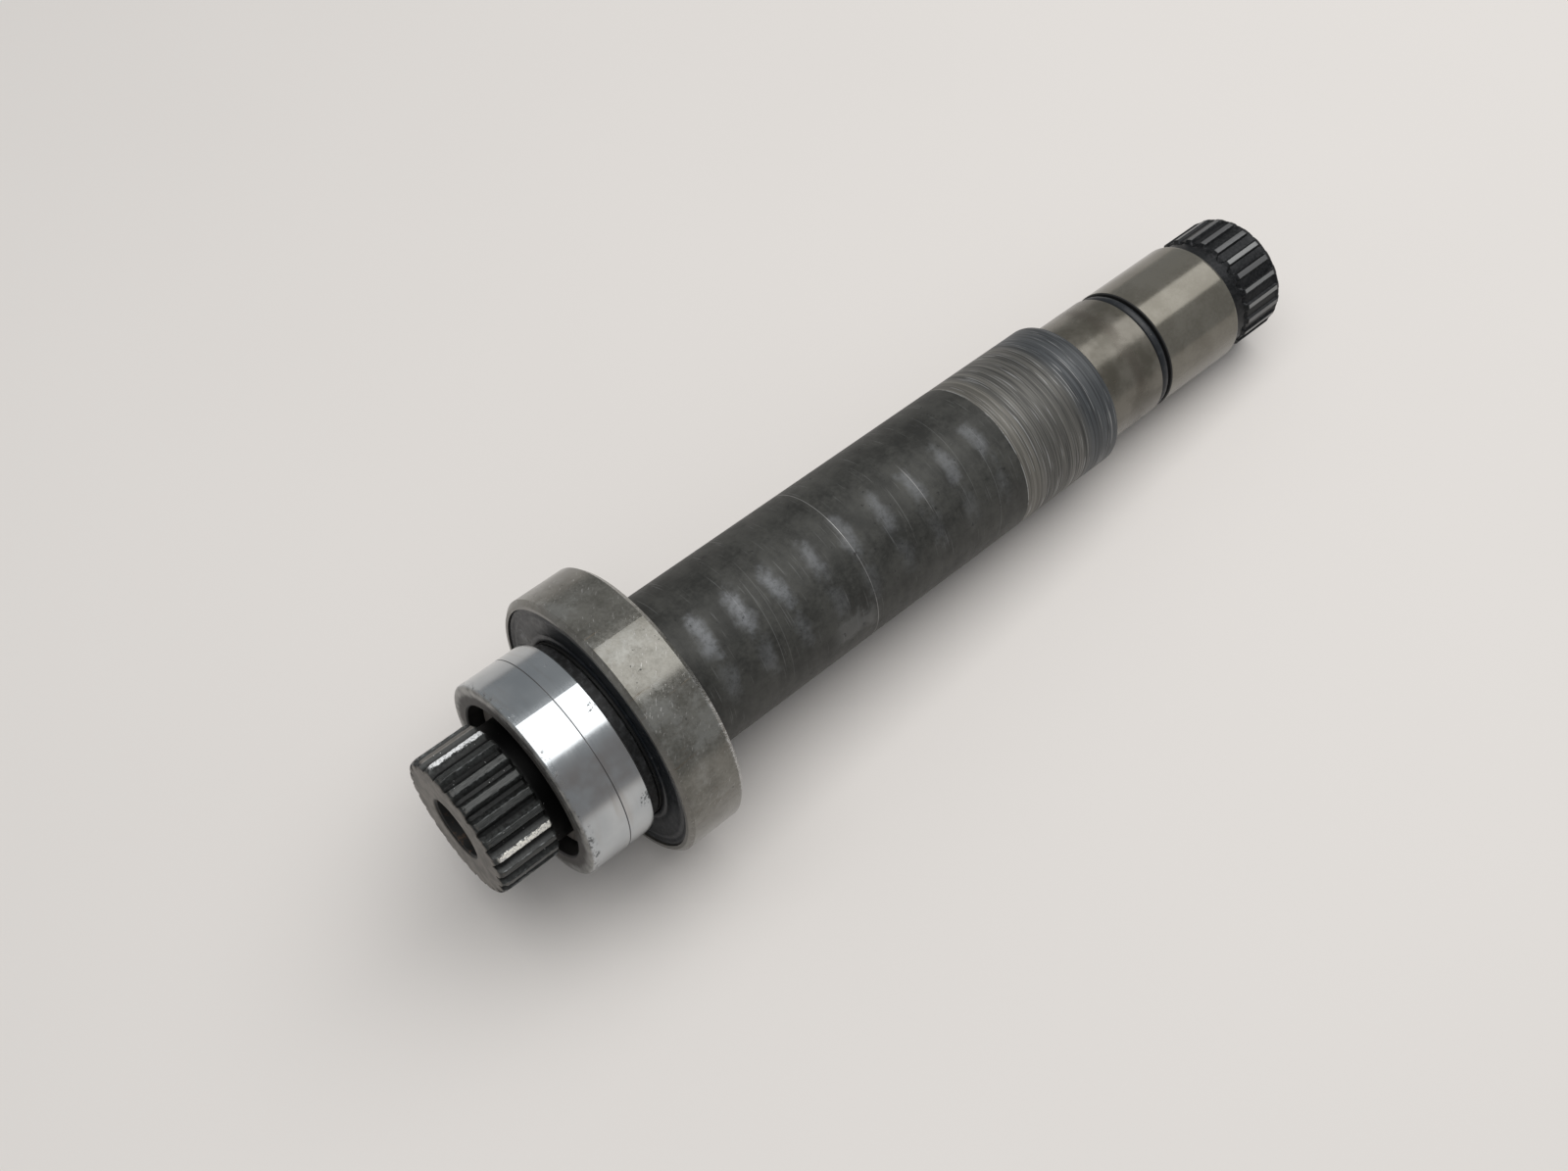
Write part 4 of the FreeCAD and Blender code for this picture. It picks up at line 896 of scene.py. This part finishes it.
def bearing_material(name):
    """Ground ring steel, stained olive brown, with frosty rubbed areas, scratches along the edges, and the
    inner ring painted near-black as shade.
    """
    graph = Graph(name)
    cloud = graph.noise(120, 4.0, 0.65)
    fine = graph.noise(1600, 4.0, 0.7)
    tone = graph.plus(graph.times(cloud, 0.65), graph.times(fine, 0.35))
    graph.start(graph.mix(graph.ramp(tone, 0.36, 0.64), (0.118, 0.113, 0.098, 1), (0.205, 0.198, 0.178, 1)),
                graph.ramp(fine, 0.3, 0.7, 0.15, 0.23), 0.62)
    rubbed = graph.ramp(graph.noise(75, 5.0, 0.75), 0.5, 0.64)
    graph.lay(graph.times(rubbed, 0.45), (0.31, 0.31, 0.295, 1), 0.3)
    stained = graph.ramp(graph.noise(55, 3.0, 0.6), 0.5, 0.68)
    drawn = graph.ramp(graph.strokes(60, 0.5), 0.35, 0.6)
    graph.lay(graph.times(stained, drawn, 0.5), (0.115, 0.1, 0.08, 1), 0.3)
    scratches = graph.ramp(graph.strokes(900, 0.9, 3.0, 2400), 0.63, 0.7)
    graph.lay(graph.times(scratches, 0.5), grey(0.5, 0.02), 0.3)
    rust_lines = graph.ramp(graph.strokes(120, 0.8, 4.0), 0.62, 0.74)
    graph.lay(graph.times(rust_lines, 0.5), (0.12, 0.085, 0.055, 1), 0.5)
    rear = graph.ramp(graph.station, BEARING_REAR - 1.5 * MM, BEARING_REAR - 0.7 * MM)
    rubs = graph.ramp(graph.strokes(700, 2.2, 3.0, -1500), 0.48, 0.6)
    graph.lay(graph.times(rear, graph.between(graph.turn, 30, 120, 12), rubs), grey(0.55), 0.3, 0.8)
    light_rubs = graph.ramp(graph.strokes(900, 1.4, 3.0, 800), 0.56, 0.66)
    graph.lay(graph.times(rear, light_rubs, 0.5), grey(0.4), 0.3, 0.8)
    graph.lay(graph.times(rear, graph.ramp(graph.noise(700, 4.0, 0.7), 0.6, 0.7)), grey(0.03), 0.6)
    pits = graph.ramp(graph.noise(1000, 3.0), 0.69, 0.74)
    graph.lay(graph.times(pits, 0.7), grey(0.02), 0.7)
    face = graph.ramp(graph.station, BEARING_FRONT + 0.3 * MM, BEARING_FRONT + 1.1 * MM, 1.0, 0.0)
    graph.lay(graph.times(face, 0.6), graph.mix(cloud, (0.12, 0.112, 0.1, 1), (0.26, 0.25, 0.23, 1)), 0.4)
    # The inner ring, seen only in the narrow gap between seal and shaft, is painted near-black as shade.
    inner = graph.ramp(graph.radius, 21.4 * MM, 21.7 * MM, 1.0, 0.0)
    graph.lay(inner, grey(0.01), 0.5, 0.1)
    graph.raise_by(0.8, graph.rings(5000, 2.0))
    graph.raise_by(-12, scratches)
    return graph.finish()


def rubber_material(name):
    """Black nitrile with dust, a rubbed grey bloom in places and a scuff on the front seal."""
    graph = Graph(name)
    dust = graph.noise(700, 5.0, 0.65)
    graph.start(graph.mix(graph.ramp(dust, 0.5, 0.8), (0.006, 0.008, 0.011, 1), (0.022, 0.026, 0.031, 1)),
                graph.ramp(dust, 0.3, 0.7, 0.36, 0.5), 0.0)
    bloom = graph.ramp(graph.noise(85, 4.0, 0.6), 0.56, 0.72)
    graph.lay(graph.times(bloom, 0.5), (0.035, 0.038, 0.042, 1), 0.5)
    specks = graph.ramp(graph.noise(1500, 2.0), 0.72, 0.77)
    graph.lay(specks, grey(0.25, 0.05), 0.6)
    scuffed = graph.spot(BEARING_FRONT + 0.6 * MM, -78, 25.2 * MM, 2.0 * MM, 0.7)
    scuffed = graph.times(scuffed, graph.ramp(graph.noise(900, 4.0, 0.75), 0.46, 0.6), 0.8)
    graph.lay(scuffed, (0.14, 0.145, 0.15, 1), 0.45)
    graph.raise_by(14, dust)
    return graph.finish()


def sheet_material():
    """Pressed sheet steel with faint rolling marks and a film of grease."""
    graph = Graph("pressed_sheet_steel")
    grease = graph.noise(300, 4.0, 0.6)
    graph.start(graph.mix(graph.ramp(grease, 0.4, 0.65), (0.45, 0.44, 0.41, 1), (0.3, 0.27, 0.2, 1)),
                graph.ramp(grease, 0.3, 0.7, 0.42, 0.26), 1.0)
    graph.raise_by(3, graph.strokes(500, 1.5))
    return graph.finish()


def ball_material():
    """Polished bearing steel with faint smears of grease."""
    graph = Graph("polished_ball_steel")
    smear = graph.noise(500, 3.0, 0.6)
    graph.start(graph.mix(graph.ramp(smear, 0.5, 0.75), (0.72, 0.72, 0.73, 1), (0.5, 0.46, 0.38, 1)),
                graph.ramp(smear, 0.4, 0.7, 0.06, 0.2), 1.0)
    graph.raise_by(0.3, smear)
    return graph.finish()


def wire_material():
    """Phosphated spring wire, paler in places."""
    graph = Graph("dark_spring_wire")
    fine = graph.noise(1500, 4.0, 0.7)
    graph.start(graph.mix(graph.ramp(fine, 0.4, 0.7), (0.03, 0.031, 0.033, 1), (0.10, 0.10, 0.10, 1)),
                graph.ramp(fine, 0.3, 0.7, 0.35, 0.5), 0.7)
    graph.raise_by(5, fine)
    return graph.finish()


def dress(node, material):
    """Give every slot of a CAD node one material."""
    mesh = NODES[node].data
    for index in range(len(mesh.materials)):
        mesh.materials[index] = material
    if not mesh.materials:
        mesh.materials.append(material)


RUBBER = rubber_material("nitrile_rubber")
FINISHES = {
    "shaft_steel": shaft_material(),
    "collar_steel": collar_material(),
    "bearing_steel": bearing_material("ground_ring_steel"),
    "pressed_steel": sheet_material(),
    "ball_steel": ball_material(),
    "spring_steel": wire_material(),
    "rubber": RUBBER,
}


def make_shaft():
    shaft = mesh_piece("worn_shaft", [front_end(), main_length()], SHAFT_SHARP_ANGLE)
    shaft.data.materials.append(FINISHES["shaft_steel"])
    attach(shaft, "shaft_group")
    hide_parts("shaft")


# ---------------------------------------------------------------- floor, light and camera

def floor_material():
    """Plain pale paper, with a trace of unevenness."""
    graph = Graph("floor_paper")
    cloud = graph.noise(6.0, 2.0)
    graph.start(graph.mix(cloud, (0.755, 0.718, 0.69, 1), (0.72, 0.685, 0.658, 1)), 0.6, 0.0)
    return graph.finish()


def make_floor():
    reach = 3.0
    corners = [(-reach, -reach, 0), (reach, -reach, 0), (reach, reach, 0), (-reach, reach, 0)]
    mesh = bpy.data.meshes.new("floor")
    mesh.from_pydata(corners, [], [(0, 1, 2, 3)])
    mesh.materials.append(floor_material())
    floor = bpy.data.objects.new("floor", mesh)
    floor.matrix_world = STAND
    bpy.context.scene.collection.objects.link(floor)


def on_floor(along, across, height):
    return FLOOR_ALONG * along + FLOOR_ACROSS * across + FLOOR_UP * height


def aim(item, place, target):
    """Put a lamp or camera at a place, looking at a target, level with the floor."""
    forward = (target - place).normalized()
    right = forward.cross(FLOOR_UP).normalized()
    up = right.cross(forward)
    turned_to = Matrix((right, up, -forward)).transposed().to_4x4()
    item.matrix_world = Matrix.Translation(place) @ turned_to


def lie_flat(item, place):
    """Put a lamp level overhead, its width along the shaft, shining down."""
    turned_to = Matrix((FLOOR_ALONG, FLOOR_ACROSS, FLOOR_UP)).transposed().to_4x4()
    item.matrix_world = Matrix.Translation(place) @ turned_to


def make_light():
    """One large window-like panel overhead, and a dim even room."""
    lamp = bpy.data.lights.new("overhead_panel", "AREA")
    lamp.shape = "RECTANGLE"
    lamp.size = 1.75
    lamp.size_y = 0.84
    lamp.energy = 10.3
    lamp.color = (1.0, 0.995, 0.98)
    panel = bpy.data.objects.new("overhead_panel", lamp)
    bpy.context.scene.collection.objects.link(panel)
    lie_flat(panel, on_floor(0.42, 0.01, 0.9))
    world = bpy.data.worlds.new("dim_room")
    world.use_nodes = True
    back = world.node_tree.nodes["Background"]
    back.inputs["Color"].default_value = (0.95, 0.98, 1.0, 1)
    back.inputs["Strength"].default_value = 0.34
    bpy.context.scene.world = world


def make_camera():
    """The viewing angle: 60 degrees above the floor, 48 degrees round from the shaft."""
    elevation = math.radians(60.31)
    turn = math.radians(48.43)
    place = on_floor(-0.0734, -0.1334, 0.3125)
    flat = FLOOR_ALONG * math.cos(turn) + FLOOR_ACROSS * math.sin(turn)
    forward = flat * math.cos(elevation) - FLOOR_UP * math.sin(elevation)
    lens = bpy.data.cameras.new("camera")
    lens.sensor_width = 36.0
    lens.lens = 38.38
    lens.clip_start = 0.01
    camera = bpy.data.objects.new("camera", lens)
    bpy.context.scene.collection.objects.link(camera)
    aim(camera, place, place + forward)
    bpy.context.scene.camera = camera


for subpart in frame["record"]["subparts"]:
    dress(subpart["node"], FINISHES[subpart["material_slot"]])
make_shaft()
make_seal("front", -1)
make_seal("rear", 1)
make_floor()
make_light()
make_camera()
bpy.context.scene.view_settings.view_transform = "Standard"
